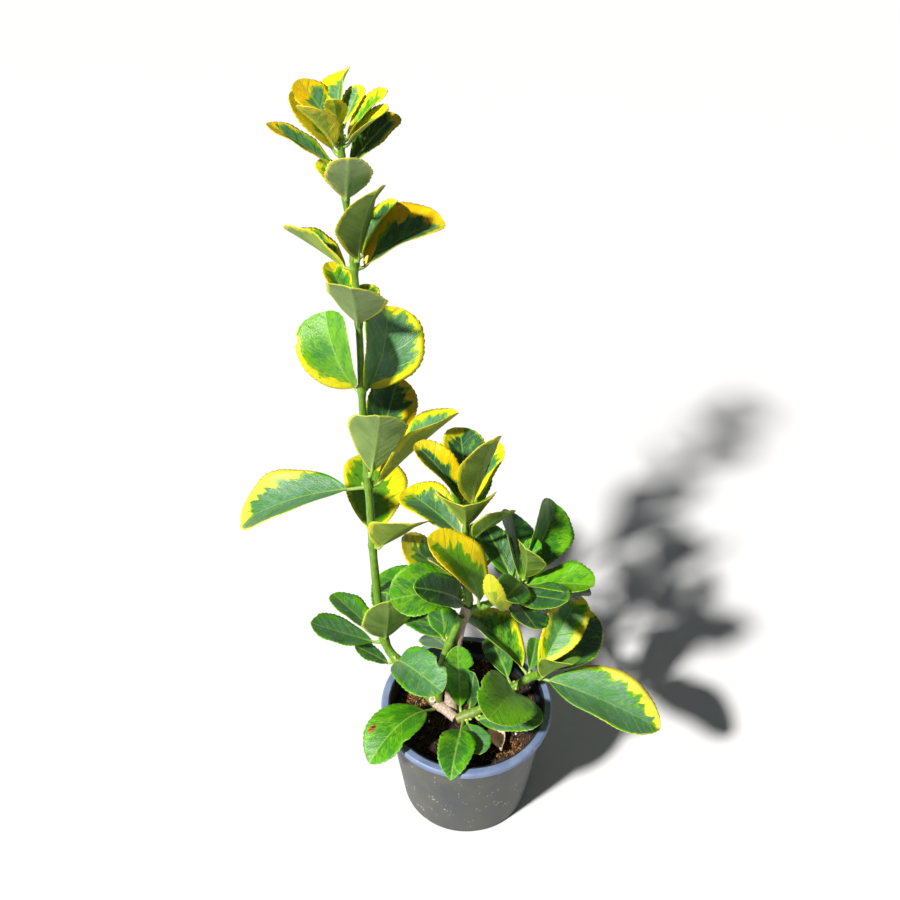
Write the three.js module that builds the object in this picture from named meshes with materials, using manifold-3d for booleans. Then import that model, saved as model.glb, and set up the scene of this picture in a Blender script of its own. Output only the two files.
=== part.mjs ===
// A young variegated spindle shrub in a round nursery pot, in millimetres, +Z up.
// The origin is the middle of the pot's flat underside. The plant stands in damp compost: a short
// woody foot that lies over and forks, five green limbs, and pairs of leathery oval leaves on them.

import * as THREE from 'three';
import { mergeVertices } from 'three/addons/utils/BufferGeometryUtils.js';
import Module from 'manifold-3d';

const wasm = await Module();
wasm.setup();

// Pot
const POT_HEIGHT = 70;
const RIM_RADIUS = 45;
const RIM_WIDTH = 4.5;
const RIM_DEPTH = 3.2;
const MOUTH_RADIUS = RIM_RADIUS - RIM_WIDTH;
const SHOULDER_RADIUS = 42;
const SHOULDER_DROP = 9;
const BASE_RADIUS = 34.5;
const WALL = 1.2;
const BASE_EDGE = 1.5;
const EDGE_CUT = 0.8;
const FLOOR = 2;
const POT_SIDES = 40;
const DRAIN_COUNT = 6;
const DRAIN_RADIUS = 3;
const DRAIN_CIRCLE = 22;
const DRAIN_SIDES = 16;

// Compost: its level, and the room it keeps from the wall
const SOIL_TOP = 58;
const SOIL_ROOM = 0.5;

// What every piece keeps from its neighbour
const GAP = 0.3;

// Stems: sides, ring spacing, and how fast the root flare and the knuckle die away
const STEM_SIDES = 8;
const SPLINE_STEPS = 8;
const STEP = 9;
const FLARE_FADE = 5;
const KNUCKLE_SPAN = 5;
const KNUCKLE_BELOW_TIP = 2;

// Sleeves and stalks: a stalk thins towards the blade and starts a little way inside what holds it
const SLEEVE_WALL = 0.9;
const STALK_SIDES = 4;
const STALK_RADIUS = 0.9;
const STALK_THINS = [1, 0.8, 0.4];
const STALK_OUT = 0.6;
const STALK_IN = 0.8;

// Blades: where along one the ribs lie, its thickness, and the shape of its outline
const BLADE_SHARES = [0, 0.16, 0.38, 0.62, 0.86, 1];
const HOLD_SHARE = 0.16;
const BLADE_THICK = 0.9;
const THICK_SHARE = 0.02;
const NARROWEST = 0.5;
const WIDEST_AT = 0.6;
const BASE_POWER = 0.85;
const TIP_POWER = 0.52;
const FLAT = 0.001;

// Limbs, foot first: the route, the radius at the foot and at the tip, and how far the bare limb runs
const LIMBS = {
  trunk: {
    route: [[-8, 2.5, 54], [-7.5, 8, 78], [-4, 17, 105], [1, 22, 121]],
    radii: [3.3, 2.4],
    flare: 4,
    knuckle: 0.9,
  },
  leader_stem: {
    route: [
      [-17, 5, 62.5], [-27, 12, 70], [-36, 21, 76], [-43, 27, 84], [-46, 32, 104],
      [-48, 38.5, 137], [-49, 45.5, 172], [-50, 51, 200], [-50.5, 56.5, 227], [-50.5, 62.5, 257],
      [-51.5, 69, 290], [-54, 75.5, 322], [-55, 80, 345], [-55.5, 82, 354],
    ],
    radii: [2.5, 1.3],
    bare: 294,
  },
  green_bough: { route: [[-15, 4, 64], [-14, 8, 84], [-11, 10, 98], [-3, 17, 118]], radii: [2.1, 1.9] },
  crown_bough: {
    route: [[1, 22, 121], [-1, 26, 145], [-1, 27, 162], [-0.5, 32, 184]],
    radii: [2.2, 1.4],
    bare: 39,
  },
  right_bough: {
    route: [[2, 21, 118], [12, 17, 128], [22, 14, 140], [29, 14, 152]],
    radii: [2.2, 1.5],
    bare: 29,
  },
  low_bough: {
    route: [[-5, -6, 62.5], [8, -3, 68], [24, 4, 76], [33, 6, 82], [38, 4, 88]],
    radii: [2.5, 1.9],
    bare: 40,
  },
  old_wood: { route: [[-18.5, 6.5, 62.6], [-11, 0, 62.6], [-5, -6, 62.6]], radii: [2.8, 2.5] },
  cut_stub: { route: [[-17, 5, 62.6], [-18, 4, 66.5]], radii: [2.3, 2.1] },
};

// One leaf: where its stalk leaves the limb, its heading and lift, its size, and its own shape.
// A larger point gives a sharper tip.
const leaf = (at, turn, rise, long, wide, shape = {}) => ({
  at, turn, rise, long, wide, fold: 18, curl: 12, roll: 0, stalk: 3, point: TIP_POWER, ...shape,
});

// Masses of foliage: pairs of leaves on a sleeve round a limb, or on the limb's own last stretch
const MASSES = {
  leader_crown: {
    limb: 'leader_stem', from: 294, tip: true, leaves: [
      leaf(297, 42, 29, 30, 19, { fold: 15 }),
      leaf(297, 162, 27, 33, 18, { fold: 15, curl: 5, roll: 12 }),
      leaf(303, 158, 51, 29, 18, { fold: 5, curl: 6 }),
      leaf(307, 231, 53, 27, 17, { fold: 15, roll: 10, stalk: 2.5 }),
      leaf(307, 339, 43, 26, 15, { roll: 10, stalk: 2.5 }),
      leaf(309, 10, 47, 26, 16, { fold: 20, curl: 18, stalk: 2 }),
      leaf(313, 140, 39, 23, 18, { fold: 5, curl: 5, stalk: 4 }),
      leaf(314, 87, 32, 27, 17, { fold: 35, curl: 35, roll: -35, stalk: 2 }),
      leaf(314, 56, 45, 18, 11, { curl: 5, roll: -5, stalk: 2 }),
      leaf(314, 267, 65, 17, 10, { fold: 12, curl: 8, stalk: 1.5 }),
    ],
  },
  leader_tier_7: {
    limb: 'leader_stem', from: 282, to: 287, leaves: [
      leaf(284, 283, 58, 31, 20, { fold: 6, curl: -6, roll: -8, stalk: 2.5 }),
      leaf(285, 129, 37, 17, 11, { stalk: 2 }),
      leaf(284, 98, 22, 18, 12, { stalk: 1.5 }),
    ],
  },
  leader_tier_6: {
    limb: 'leader_stem', from: 250, to: 259, leaves: [
      leaf(252, 152, 20, 34, 22, { fold: 34, curl: 8, roll: 32, stalk: 1.5 }),
      leaf(252, 18, 24, 41, 30, { fold: 32, curl: 34, roll: 8, stalk: 1.5 }),
      leaf(256, 314, 69, 42, 27, { curl: 30, roll: 8, stalk: 1.5 }),
      leaf(256, 34, 48, 29, 18, { fold: 26, curl: 20, roll: -20, stalk: 2 }),
    ],
  },
  leader_tier_5: {
    limb: 'leader_stem', from: 224, to: 229, leaves: [
      leaf(226, 271, 55, 41, 28, { fold: 14, curl: 9, roll: -14 }),
      leaf(227, 129, 47, 27, 16, { fold: 22, curl: 16, roll: 10, stalk: 2 }),
      leaf(226, 80, 20, 20, 13, { stalk: 1.5 }),
    ],
  },
  leader_tier_4: {
    limb: 'leader_stem', from: 189, to: 194, leaves: [
      leaf(191, 135, 63, 39, 34, { fold: 33, curl: 60, roll: -65, stalk: 2 }),
      leaf(191, 54, 66, 41, 38, { fold: 35, curl: 60, roll: 65, stalk: 1.5 }),
    ],
  },
  leader_tier_3: {
    limb: 'leader_stem', from: 137, to: 149, leaves: [
      leaf(139, 187, -17, 57, 36, { fold: 24, curl: 34, stalk: 6.5 }),
      leaf(139, 20, 38, 54, 31, { fold: 38, curl: 9, roll: -30, stalk: 1.5 }),
      leaf(146, 302, 75, 44, 29, { curl: 26, roll: -34, stalk: 4 }),
      leaf(146, 74, 28, 49, 28, { fold: 21, curl: 15, roll: 30, stalk: 4 }),
    ],
  },
  leader_tier_2: {
    limb: 'leader_stem', from: 102, to: 107, leaves: [
      leaf(104, 316, 53, 42, 30, { curl: 9, roll: -30, stalk: 1.5 }),
      leaf(104, 92, 8, 55, 35, { fold: 10, curl: 8, roll: 12, stalk: 5 }),
    ],
  },
  leader_tier_1: {
    limb: 'leader_stem', from: 42, to: 49, leaves: [
      leaf(45, 137, 10, 35, 20, { fold: 15, curl: 2, roll: 20, stalk: 2 }),
      leaf(43, 183, 28, 36, 21, { fold: 8, curl: -5, roll: 4 }),
      leaf(47, 287, 74, 43, 27, { fold: 5, curl: -15, stalk: 1.5 }),
      leaf(47, 88, 12, 32, 19),
    ],
  },
  rim_pair: {
    limb: 'leader_stem', from: 28, to: 33, leaves: [
      leaf(30, 306, 21, 43, 26, { fold: 30, curl: 50, roll: 22, stalk: 2.5 }),
      leaf(31, 173, 33, 21, 12, { fold: 8, curl: 5, roll: 4, stalk: 1.5 }),
    ],
  },
  foot_leaf: {
    limb: 'old_wood', leaves: [
      leaf(5, 228, -4, 41, 26, { fold: 16, curl: 80, roll: 4, stalk: 9, point: 0.7 }),
    ],
  },
  front_foliage: {
    limb: 'low_bough', from: 1.5, to: 12, leaves: [
      leaf(3, 260, 2, 31, 19, { fold: 18, curl: 58, stalk: 9, point: 0.85 }),
      leaf(5, 284, 16, 25, 16, { roll: -4, stalk: 1.5 }),
      leaf(3, 100, 74, 38, 17, { fold: 12, curl: 10, stalk: 3 }),
      leaf(7, 45, 83, 25, 15, { fold: 10, curl: 0, roll: -10, stalk: 3.5 }),
      leaf(10, 332, 31, 41, 21, { fold: 16, curl: 25, roll: 9, stalk: 1.5 }),
    ],
  },
  low_pair: {
    limb: 'low_bough', from: 31, to: 36, leaves: [
      leaf(34, 247, 32, 45, 33, { fold: 22, curl: 46, roll: -24 }),
      leaf(34, 108, 2, 28, 16),
    ],
  },
  low_foliage: {
    limb: 'low_bough', from: 40, tip: true, leaves: [
      leaf(44, 134, 10, 44, 31, { fold: 26, curl: 35, roll: 20, stalk: 4 }),
      leaf(50, 50, 46, 41, 24, { fold: 28, curl: 8, roll: 30, stalk: 5 }),
      leaf(48, 50, 2, 50, 33, { fold: 6, curl: 4, roll: 24, stalk: 2.5 }),
      leaf(50, 317, 55, 31, 22, { fold: 28, curl: 15, roll: -31, stalk: 3.5 }),
      leaf(51, 334, -5, 61, 36, { fold: 22, curl: 22, stalk: 4.5, point: 0.7 }),
      leaf(44, 77, 7, 20, 11, { fold: 24, curl: 16, roll: 20 }),
    ],
  },
  trunk_leaf: {
    limb: 'trunk', leaves: [leaf(40.4, 117, -30, 32, 19, { fold: 8, curl: 5, stalk: 1.5 })],
  },
  knuckle_leaf: {
    limb: 'right_bough', leaves: [
      leaf(8.8, 189, 63, 56, 26, { fold: 30, curl: 54, roll: -32, stalk: 3.8 }),
    ],
  },
  green_foliage: {
    limb: 'green_bough', from: 33, to: 41, leaves: [
      leaf(40, 125, 5, 32, 26, { fold: 8, curl: 5, stalk: 1.5 }),
      leaf(39.5, 100, 19, 18, 17, { fold: 8, curl: 0, roll: 8, stalk: 1.5 }),
    ],
  },
  middle_foliage: {
    limb: 'crown_bough', from: 2, to: 14, leaves: [
      leaf(5, 185, 61, 31, 15, { curl: 14, roll: 30, stalk: 2 }),
      leaf(12, 157, 35, 37, 25, { fold: 4, curl: -12, roll: 9, stalk: 1.5 }),
      leaf(5, 149, -14, 49, 30, { fold: 5, curl: -8, roll: 8, stalk: 4.5 }),
      leaf(8.4, 204, 17, 37, 30, { fold: 30, curl: 49, roll: -22, stalk: 3.6 }),
      leaf(3.2, 219, 46, 43, 19, { fold: 30, curl: 45, roll: -45 }),
      leaf(11, 74, 6, 38, 24),
    ],
  },
  centre_crown: {
    limb: 'crown_bough', from: 39, tip: true, leaves: [
      leaf(61, 162, 53, 39, 19, { fold: 40, curl: 39, roll: -15, stalk: 1.8 }),
      leaf(60, 346, 77, 44, 26, { curl: 14, roll: -32 }),
      leaf(58, 63, 32, 35, 21, { fold: 22, curl: 8, roll: -16, stalk: 2.5 }),
      leaf(61.8, 96, 32, 36, 25, { fold: 23, curl: 16, roll: 15 }),
      leaf(48, 266, 57, 42, 31, { fold: 28, curl: 44, stalk: 4 }),
      leaf(43, 141, 14, 37, 26, { fold: 22, curl: 26, stalk: 1.5 }),
      leaf(42, 337, 54, 31, 19, { fold: 12, curl: 6, roll: -40 }),
      leaf(48, 85, 15, 38, 23),
    ],
  },
  right_crown: {
    limb: 'right_bough', from: 29, tip: true, leaves: [
      leaf(40, 66, 14, 44, 28, { fold: 32, curl: 18, roll: 45, stalk: 2.5 }),
      leaf(38, 95, 13, 39, 24, { fold: 20, roll: 40, stalk: 1.5 }),
      leaf(43, 261, 72, 31, 19, { fold: 24, curl: 18, roll: -36, stalk: 1.5 }),
      leaf(43, 72, 27, 16, 10, { stalk: 2.5 }),
      leaf(38, 329, 28, 38, 23, { fold: 24, curl: 15, stalk: 3.5 }),
      leaf(34, 8, -12, 33, 20, { roll: -10, stalk: 4.5 }),
      leaf(30.5, 307, 37, 45, 18, { fold: 8, curl: 10, roll: 16, stalk: 1.5 }),
      leaf(35, 233, 58, 39, 12, { fold: 35, curl: -117, roll: 26, stalk: 6 }),
      leaf(35, 94, -9, 28, 19, { fold: 5, curl: 32, roll: -50, stalk: 2 }),
      leaf(34, 120, 30, 28, 17),
      leaf(39.9, 248, 27, 27, 18, { fold: 14, curl: 30, roll: -22, stalk: 1.7 }),
      leaf(30, 293, 8, 24, 21, { fold: 8, curl: 0, roll: -24, stalk: 3.6 }),
      leaf(31, 20, -20, 34, 24),
    ],
  },
};

// Colours
const POT_GREY = '#6b6f70';
const COMPOST = '#241a14';
const BARK = '#8a7a68';
const STEM_GREEN = '#8fb057';
const LEAF_GREEN = '#4f8f2c';

const matter = (color, roughness) => new THREE.MeshStandardMaterial({ color, roughness, metalness: 0 });

// Turns a closed geometry into a solid, and a solid into a named mesh
function solid(geometry) {
  const bare = geometry.toNonIndexed();
  for (const name of Object.keys(bare.attributes)) {
    if (name !== 'position') bare.deleteAttribute(name);
  }
  const merged = mergeVertices(bare, 1e-4);
  return new wasm.Manifold(new wasm.Mesh({
    numProp: 3,
    vertProperties: new Float32Array(merged.attributes.position.array),
    triVerts: new Uint32Array(merged.index.array),
  }));
}

function named(name, body, material) {
  const mesh = body.getMesh();
  const geometry = new THREE.BufferGeometry();
  geometry.setAttribute('position', new THREE.BufferAttribute(mesh.vertProperties.slice(), 3));
  geometry.setIndex(new THREE.BufferAttribute(mesh.triVerts.slice(), 1));
  geometry.computeVertexNormals();
  const piece = new THREE.Mesh(geometry, material);
  piece.name = name;
  return piece;
}

// Skins rings of points, first to last, and closes both ends with a flat fan
function skin(rings) {
  const count = rings[0].length;
  const points = rings.flat();
  const faces = [];
  for (let ring = 0; ring + 1 < rings.length; ring += 1) {
    for (let k = 0; k < count; k += 1) {
      const a = ring * count + k;
      const b = ring * count + ((k + 1) % count);
      faces.push(a, b, b + count, a, b + count, a + count);
    }
  }
  const last = (rings.length - 1) * count;
  for (let k = 1; k + 1 < count; k += 1) {
    faces.push(0, k + 1, k);
    faces.push(last, last + k, last + k + 1);
  }
  const geometry = new THREE.BufferGeometry().setFromPoints(points);
  geometry.setIndex(faces);
  return solid(geometry);
}

// A polyline with its length, a place and a heading at any distance along it
function route(points) {
  const spline = new THREE.CatmullRomCurve3(points.map((p) => new THREE.Vector3(...p)), false, 'catmullrom');
  const line = spline.getPoints(SPLINE_STEPS * (points.length - 1));
  const sums = [0];
  for (let i = 1; i < line.length; i += 1) sums.push(sums[i - 1] + line[i].distanceTo(line[i - 1]));
  const at = (distance) => {
    let i = 0;
    while (i + 2 < line.length && sums[i + 1] < distance) i += 1;
    const share = (distance - sums[i]) / (sums[i + 1] - sums[i]);
    return {
      place: line[i].clone().lerp(line[i + 1], share),
      axis: line[i + 1].clone().sub(line[i]).normalize(),
    };
  };
  return { at, length: sums.at(-1) };
}

function ringAt(place, axis, radius, sides) {
  const side = new THREE.Vector3(0, 1, 0).cross(axis).normalize();
  const front = axis.clone().cross(side);
  return Array.from({ length: sides }, (_, k) => {
    const turn = (2 * Math.PI * k) / sides;
    const across = side.clone().multiplyScalar(radius * Math.cos(turn));
    return place.clone().add(across).addScaledVector(front, radius * Math.sin(turn));
  });
}

// A round tapering stem along part of a route
function stem(path, from, to, radiusAt, sides = STEM_SIDES) {
  const steps = Math.ceil((to - from) / STEP);
  const rings = [];
  for (let i = 0; i <= steps; i += 1) {
    const distance = from + ((to - from) * i) / steps;
    const { place, axis } = path.at(distance);
    rings.push(ringAt(place, axis, radiusAt(distance), sides));
  }
  return skin(rings);
}

const union = (bodies) => bodies.reduce((whole, body) => whole.add(body));

// Keeps the largest piece of a solid: loose scraps and sealed hollows go
function largest(body) {
  return body.decompose().sort((a, b) => b.volume() - a.volume())[0];
}

// The radius of a limb at a distance along it, with the trunk's root flare and its swollen top
function taper({ radii, flare = 0, knuckle = 0 }, length, extra = 0) {
  return (distance) => {
    const share = Math.min(1, distance / length);
    const offKnuckle = (length - KNUCKLE_BELOW_TIP - distance) / KNUCKLE_SPAN;
    const swelling = flare * Math.exp(-distance / FLARE_FADE) + knuckle * Math.exp(-(offKnuckle ** 2));
    return radii[0] + (radii[1] - radii[0]) * share + swelling + extra;
  };
}

// The bare stretch of a limb, grown by some extra room all round and at its ends
function limbBody(limb, extra = 0) {
  const path = route(limb.route);
  return stem(path, -extra, (limb.bare ?? path.length) + extra, taper(limb, path.length, extra));
}

const heading = (turn, rise) => new THREE.Vector3(
  Math.cos(rise) * Math.cos(turn), Math.cos(rise) * Math.sin(turn), Math.sin(rise),
);

// Half the width of a blade at a share of its length
const halfWidth = ({ wide, point }, share) => (wide / 2) * (share / WIDEST_AT) ** BASE_POWER
  * ((1 - share) / (1 - WIDEST_AT)) ** point;

// A stalk and an arched, folded blade as one solid
function leafBody(spec, path, radiusAt, outer, inner) {
  const turn = THREE.MathUtils.degToRad(spec.turn);
  const rise = THREE.MathUtils.degToRad(spec.rise);
  const fold = THREE.MathUtils.degToRad(spec.fold);
  const bend = THREE.MathUtils.degToRad(spec.curl) / 2;
  const { place, axis } = path.at(spec.at);
  const chord = heading(turn, rise);
  const face = heading(turn, rise + Math.PI / 2).applyAxisAngle(chord, THREE.MathUtils.degToRad(spec.roll));
  const side = face.clone().cross(chord);
  const out = new THREE.Vector3(Math.cos(turn), Math.sin(turn), 0);
  out.addScaledVector(axis, -out.dot(axis)).normalize();
  const radius = radiusAt(spec.at);
  const away = chord.clone().multiplyScalar(Math.cos(bend)).addScaledVector(face, Math.sin(bend));
  const reachOut = radius + outer + STALK_OUT;
  const root = place.clone().addScaledVector(out, reachOut).addScaledVector(away, spec.stalk);

  const chordOf = (share) => {
    if (Math.abs(bend) < FLAT) return [spec.long * share, 0];
    const angle = bend * (1 - 2 * share);
    const reach = spec.long / (2 * Math.sin(bend));
    return [reach * (Math.sin(bend) - Math.sin(angle)), reach * (Math.cos(angle) - Math.cos(bend))];
  };
  const section = (share, width, thick) => {
    const [x, y] = chordOf(share);
    const angle = bend * (1 - 2 * share);
    const up = face.clone().multiplyScalar(Math.cos(angle)).addScaledVector(chord, -Math.sin(angle));
    const middle = root.clone().addScaledVector(chord, x).addScaledVector(face, y);
    const edge = (sign) => middle.clone().addScaledVector(side, sign * width * Math.cos(fold))
      .addScaledVector(up, width * Math.sin(fold));
    const lift = (point, height) => point.clone().addScaledVector(up, height);
    return [edge(1), lift(middle, thick / 2), edge(-1), lift(middle, -thick / 2)];
  };
  const thick = Math.max(BLADE_THICK, spec.long * THICK_SHARE);
  const blade = skin(BLADE_SHARES.map((share) => {
    const width = Math.max(halfWidth(spec, share), NARROWEST);
    return section(share, width, thick);
  }));

  const foot = place.clone().addScaledVector(out, radius + inner);
  const [x, y] = chordOf(HOLD_SHARE);
  const hold = root.clone().addScaledVector(chord, x).addScaledVector(face, y);
  const stalk = skin([
    ringAt(foot, out, STALK_RADIUS * STALK_THINS[0], STALK_SIDES),
    ringAt(root, away, STALK_RADIUS * STALK_THINS[1], STALK_SIDES),
    ringAt(hold, away, STALK_RADIUS * STALK_THINS[2], STALK_SIDES),
  ]);
  return blade.add(stalk);
}

// The pot: a thrown profile with a flat rim, pierced by drain holes
function potBody() {
  const rimBottom = POT_HEIGHT - RIM_DEPTH;
  const shoulder = POT_HEIGHT - SHOULDER_DROP;
  const profile = [
    [0, 0], [BASE_RADIUS - BASE_EDGE, 0], [BASE_RADIUS, BASE_EDGE],
    [SHOULDER_RADIUS - EDGE_CUT, shoulder], [SHOULDER_RADIUS, shoulder + EDGE_CUT],
    [SHOULDER_RADIUS, rimBottom], [RIM_RADIUS, rimBottom],
    [RIM_RADIUS, POT_HEIGHT - EDGE_CUT], [RIM_RADIUS - EDGE_CUT, POT_HEIGHT],
    [MOUTH_RADIUS, POT_HEIGHT], [BASE_RADIUS - WALL, FLOOR], [0, FLOOR],
  ].map(([r, z]) => new THREE.Vector2(r, z));
  const shell = new THREE.LatheGeometry(profile, POT_SIDES).rotateX(Math.PI / 2);
  const holes = Array.from({ length: DRAIN_COUNT }, (_, k) => {
    const turn = (2 * Math.PI * (k + 0.5)) / DRAIN_COUNT;
    const hole = new THREE.CylinderGeometry(DRAIN_RADIUS, DRAIN_RADIUS, 3 * FLOOR, DRAIN_SIDES);
    const across = DRAIN_CIRCLE * Math.cos(turn);
    return solid(hole.rotateX(Math.PI / 2).translate(across, DRAIN_CIRCLE * Math.sin(turn), 0));
  });
  return solid(shell).subtract(union(holes));
}

// The compost fills the pot to a flat top
function soilBody() {
  const floorRadius = BASE_RADIUS - WALL;
  const spread = (MOUTH_RADIUS - floorRadius) / (POT_HEIGHT - FLOOR);
  const radiusAt = (z) => floorRadius + spread * (z - FLOOR) - SOIL_ROOM;
  const bottom = FLOOR + GAP;
  const profile = [[0, bottom], [radiusAt(bottom), bottom], [radiusAt(SOIL_TOP), SOIL_TOP], [0, SOIL_TOP]]
    .map(([r, z]) => new THREE.Vector2(r, z));
  return solid(new THREE.LatheGeometry(profile, POT_SIDES).rotateX(Math.PI / 2));
}

// The trunk with the old wood that lies at its foot, cut flat just clear of the compost
function trunkBody(extra) {
  const ground = new THREE.BoxGeometry(2 * RIM_RADIUS, 2 * RIM_RADIUS, SOIL_TOP);
  const wood = union(['trunk', 'old_wood', 'cut_stub'].map((name) => limbBody(LIMBS[name], extra)));
  return wood.subtract(solid(ground.translate(0, 0, SOIL_TOP / 2 + GAP)));
}

const plant = new THREE.Group();
plant.add(named('pot', potBody(), matter(POT_GREY, 0.7)));
plant.add(named('soil', soilBody(), matter(COMPOST, 1)));
plant.add(named('trunk', trunkBody(0), matter(BARK, 0.9)));

// Limbs, each cut back to the gap from those it springs from
const rooms = [trunkBody(GAP)];
for (const name of ['leader_stem', 'crown_bough', 'green_bough', 'low_bough', 'right_bough']) {
  const body = largest(limbBody(LIMBS[name]).subtract(union(rooms)));
  rooms.push(limbBody(LIMBS[name], GAP));
  plant.add(named(name, body, matter(STEM_GREEN, 0.6)));
}

for (const [name, mass] of Object.entries(MASSES)) {
  const limb = LIMBS[mass.limb];
  const alone = mass.to === undefined && !mass.tip;
  const path = route(limb.route);
  const radiusAt = taper(limb, path.length);
  const bodies = [];
  if (mass.tip) {
    bodies.push(stem(path, mass.from, path.length, radiusAt));
  } else if (!alone) {
    bodies.push(stem(path, mass.from, mass.to, taper(limb, path.length, GAP + SLEEVE_WALL)));
  }
  const outer = mass.tip || alone ? 0 : GAP + SLEEVE_WALL;
  const inner = mass.tip ? -STALK_IN : GAP / 2;
  for (const spec of mass.leaves) bodies.push(leafBody(spec, path, radiusAt, outer, inner));
  const foliage = largest(union(bodies).subtract(limbBody(limb, GAP)));
  plant.add(named(name, foliage, matter(LEAF_GREEN, 0.45)));
}

export default plant;
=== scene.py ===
# %% [markdown]
# A young variegated spindle shrub in a round nursery pot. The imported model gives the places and
# sizes: pot, compost, a short woody trunk, five green limbs and nineteen masses of leaves. Each of
# them is dressed here with a finer piece in the same place: toothed two-toned leaves, stems with
# nodes and buds, bark, crumbly compost and a dusty plastic pot. The frame comes first, because
# everything else stands in it.

# %% Load the frame
import math
import random

import bmesh
import bpy
import numpy as np
from mathutils import Matrix, Vector, noise


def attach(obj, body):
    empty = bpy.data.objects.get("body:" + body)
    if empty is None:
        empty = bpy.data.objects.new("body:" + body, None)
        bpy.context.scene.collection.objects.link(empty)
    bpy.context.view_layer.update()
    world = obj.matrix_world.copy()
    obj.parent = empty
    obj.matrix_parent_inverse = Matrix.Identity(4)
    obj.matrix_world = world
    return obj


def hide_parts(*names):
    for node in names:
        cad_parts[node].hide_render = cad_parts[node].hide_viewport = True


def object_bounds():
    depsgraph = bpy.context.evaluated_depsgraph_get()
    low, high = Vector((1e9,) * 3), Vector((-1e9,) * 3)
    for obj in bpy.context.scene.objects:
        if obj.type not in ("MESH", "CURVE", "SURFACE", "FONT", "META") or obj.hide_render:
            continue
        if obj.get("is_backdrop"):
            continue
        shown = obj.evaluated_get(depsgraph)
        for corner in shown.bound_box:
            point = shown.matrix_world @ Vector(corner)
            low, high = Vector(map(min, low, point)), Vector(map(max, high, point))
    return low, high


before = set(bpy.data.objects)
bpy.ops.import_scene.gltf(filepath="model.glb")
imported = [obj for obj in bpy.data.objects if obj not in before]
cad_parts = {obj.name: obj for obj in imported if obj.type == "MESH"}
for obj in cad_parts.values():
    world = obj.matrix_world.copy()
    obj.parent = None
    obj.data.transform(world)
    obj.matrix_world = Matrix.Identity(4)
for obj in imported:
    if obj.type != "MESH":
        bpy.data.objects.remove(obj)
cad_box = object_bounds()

MM = 0.001
print("CAD box in mm:", [[round(v / MM, 1) for v in corner] for corner in cad_box])

# %% [markdown]
# Small helpers serve every material. Colours are given as sRGB hex values, but a shader
# works in linear light, so one function turns them. Another adds one node with its settings and
# links. The rest are short names for the nodes that come again and again, so that a material reads
# as a list of plain steps. Most of them find their node tree through the output they are given.

# %% Colour and node helpers
def linear(code):
    """An sRGB hex colour as a linear RGBA tuple."""
    parts = [int(code[k:k + 2], 16) / 255 for k in (1, 3, 5)]
    bright = [c / 12.92 if c <= 0.04045 else ((c + 0.055) / 1.055) ** 2.4 for c in parts]
    return (*bright, 1.0)


def add(tree, kind, inputs=None, out=0, **settings):
    """Adds a node, sets and links its inputs, and gives back one of its outputs."""
    node = tree.nodes.new(kind)
    for name, value in settings.items():
        setattr(node, name, value)
    for name, value in (inputs or {}).items():
        if isinstance(value, bpy.types.NodeSocket):
            tree.links.new(value, node.inputs[name])
        else:
            node.inputs[name].default_value = value
    return node.outputs[out] if len(node.outputs) else node


def new_material(name):
    """An empty node material and its tree."""
    material = bpy.data.materials.new(name)
    material.use_nodes = True
    material.node_tree.nodes.clear()
    return material, material.node_tree


def plant_space(tree):
    """A point's place in the plant's own space, in metres."""
    return add(tree, "ShaderNodeTexCoord", out="Object")


def maths(operation, first, *others):
    """A calculation on one to three values, the first of which is a node's output."""
    return add(first.id_data, "ShaderNodeMath", dict(enumerate((first, *others))), operation=operation)


def ramp(value, low, high, start=0.0, stop=1.0):
    """A value spread from one range to another and held at its ends."""
    return add(value.id_data, "ShaderNodeMapRange", {0: value, 1: low, 2: high, 3: start, 4: stop})


def mixed(share, first, second):
    """A colour between two others, each a hex value or the output of a node."""
    ends = [linear(c) if isinstance(c, str) else c for c in (first, second)]
    return add(share.id_data, "ShaderNodeMix", {0: share, 6: ends[0], 7: ends[1]}, out=2, data_type="RGBA")


def part(vector, axis):
    """The X, Y or Z of a vector."""
    return add(vector.id_data, "ShaderNodeSeparateXYZ", {0: vector}, out=axis)


def scaled(vector, scales):
    """A vector with each axis scaled by its own number."""
    return add(vector.id_data, "ShaderNodeVectorMath", {0: vector, 1: scales}, operation="MULTIPLY")


def reach_of(vector):
    """How long a vector is."""
    return add(vector.id_data, "ShaderNodeVectorMath", {0: vector}, out="Value", operation="LENGTH")


def cloudy(place, scale, detail=2.0, roughness=0.5):
    """Fractal noise at a place."""
    return add(place.id_data, "ShaderNodeTexNoise", {
        "Vector": place, "Scale": scale, "Detail": detail, "Roughness": roughness,
    })


def surface(tree, colour, roughness, height, lift_mm, **constants):
    """Ends a material: a Principled surface with its bump. The constants go on its own sockets."""
    bump = add(tree, "ShaderNodeBump", {"Height": height, "Distance": lift_mm * MM, "Strength": 1.0})
    shader = add(tree, "ShaderNodeBsdfPrincipled", {
        "Base Color": colour, "Roughness": roughness, "Normal": bump, **constants,
    })
    add(tree, "ShaderNodeOutputMaterial", {"Surface": shader})


# %% [markdown]
# The camera stands where the photograph was taken from: above the plant's front and looking down
# at it by about forty degrees. The light is a plain studio one: a key from the upper left front,
# with slightly soft shadows, and a pale surround that fills them. The floor is plain and pale.

# %% Camera, floor and light
CAMERA_PLACE = (-8.7 * MM, -363.8 * MM, 547.2 * MM)
CAMERA_TILT = math.radians(50.1)
CAMERA_LENS = 44.34
KEY_FROM = Vector((-0.55, -0.50, 0.72))
KEY_POWER = 6.6
KEY_SOFTNESS = math.radians(5)
KEY_COLOUR = (1.0, 0.97, 0.90)
SURROUND_POWER = 0.11
SURROUND_COLOUR = (0.92, 0.96, 1.0, 1.0)
FLOOR_HALF = 4.0
FLOOR_DROP = 0.2

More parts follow.
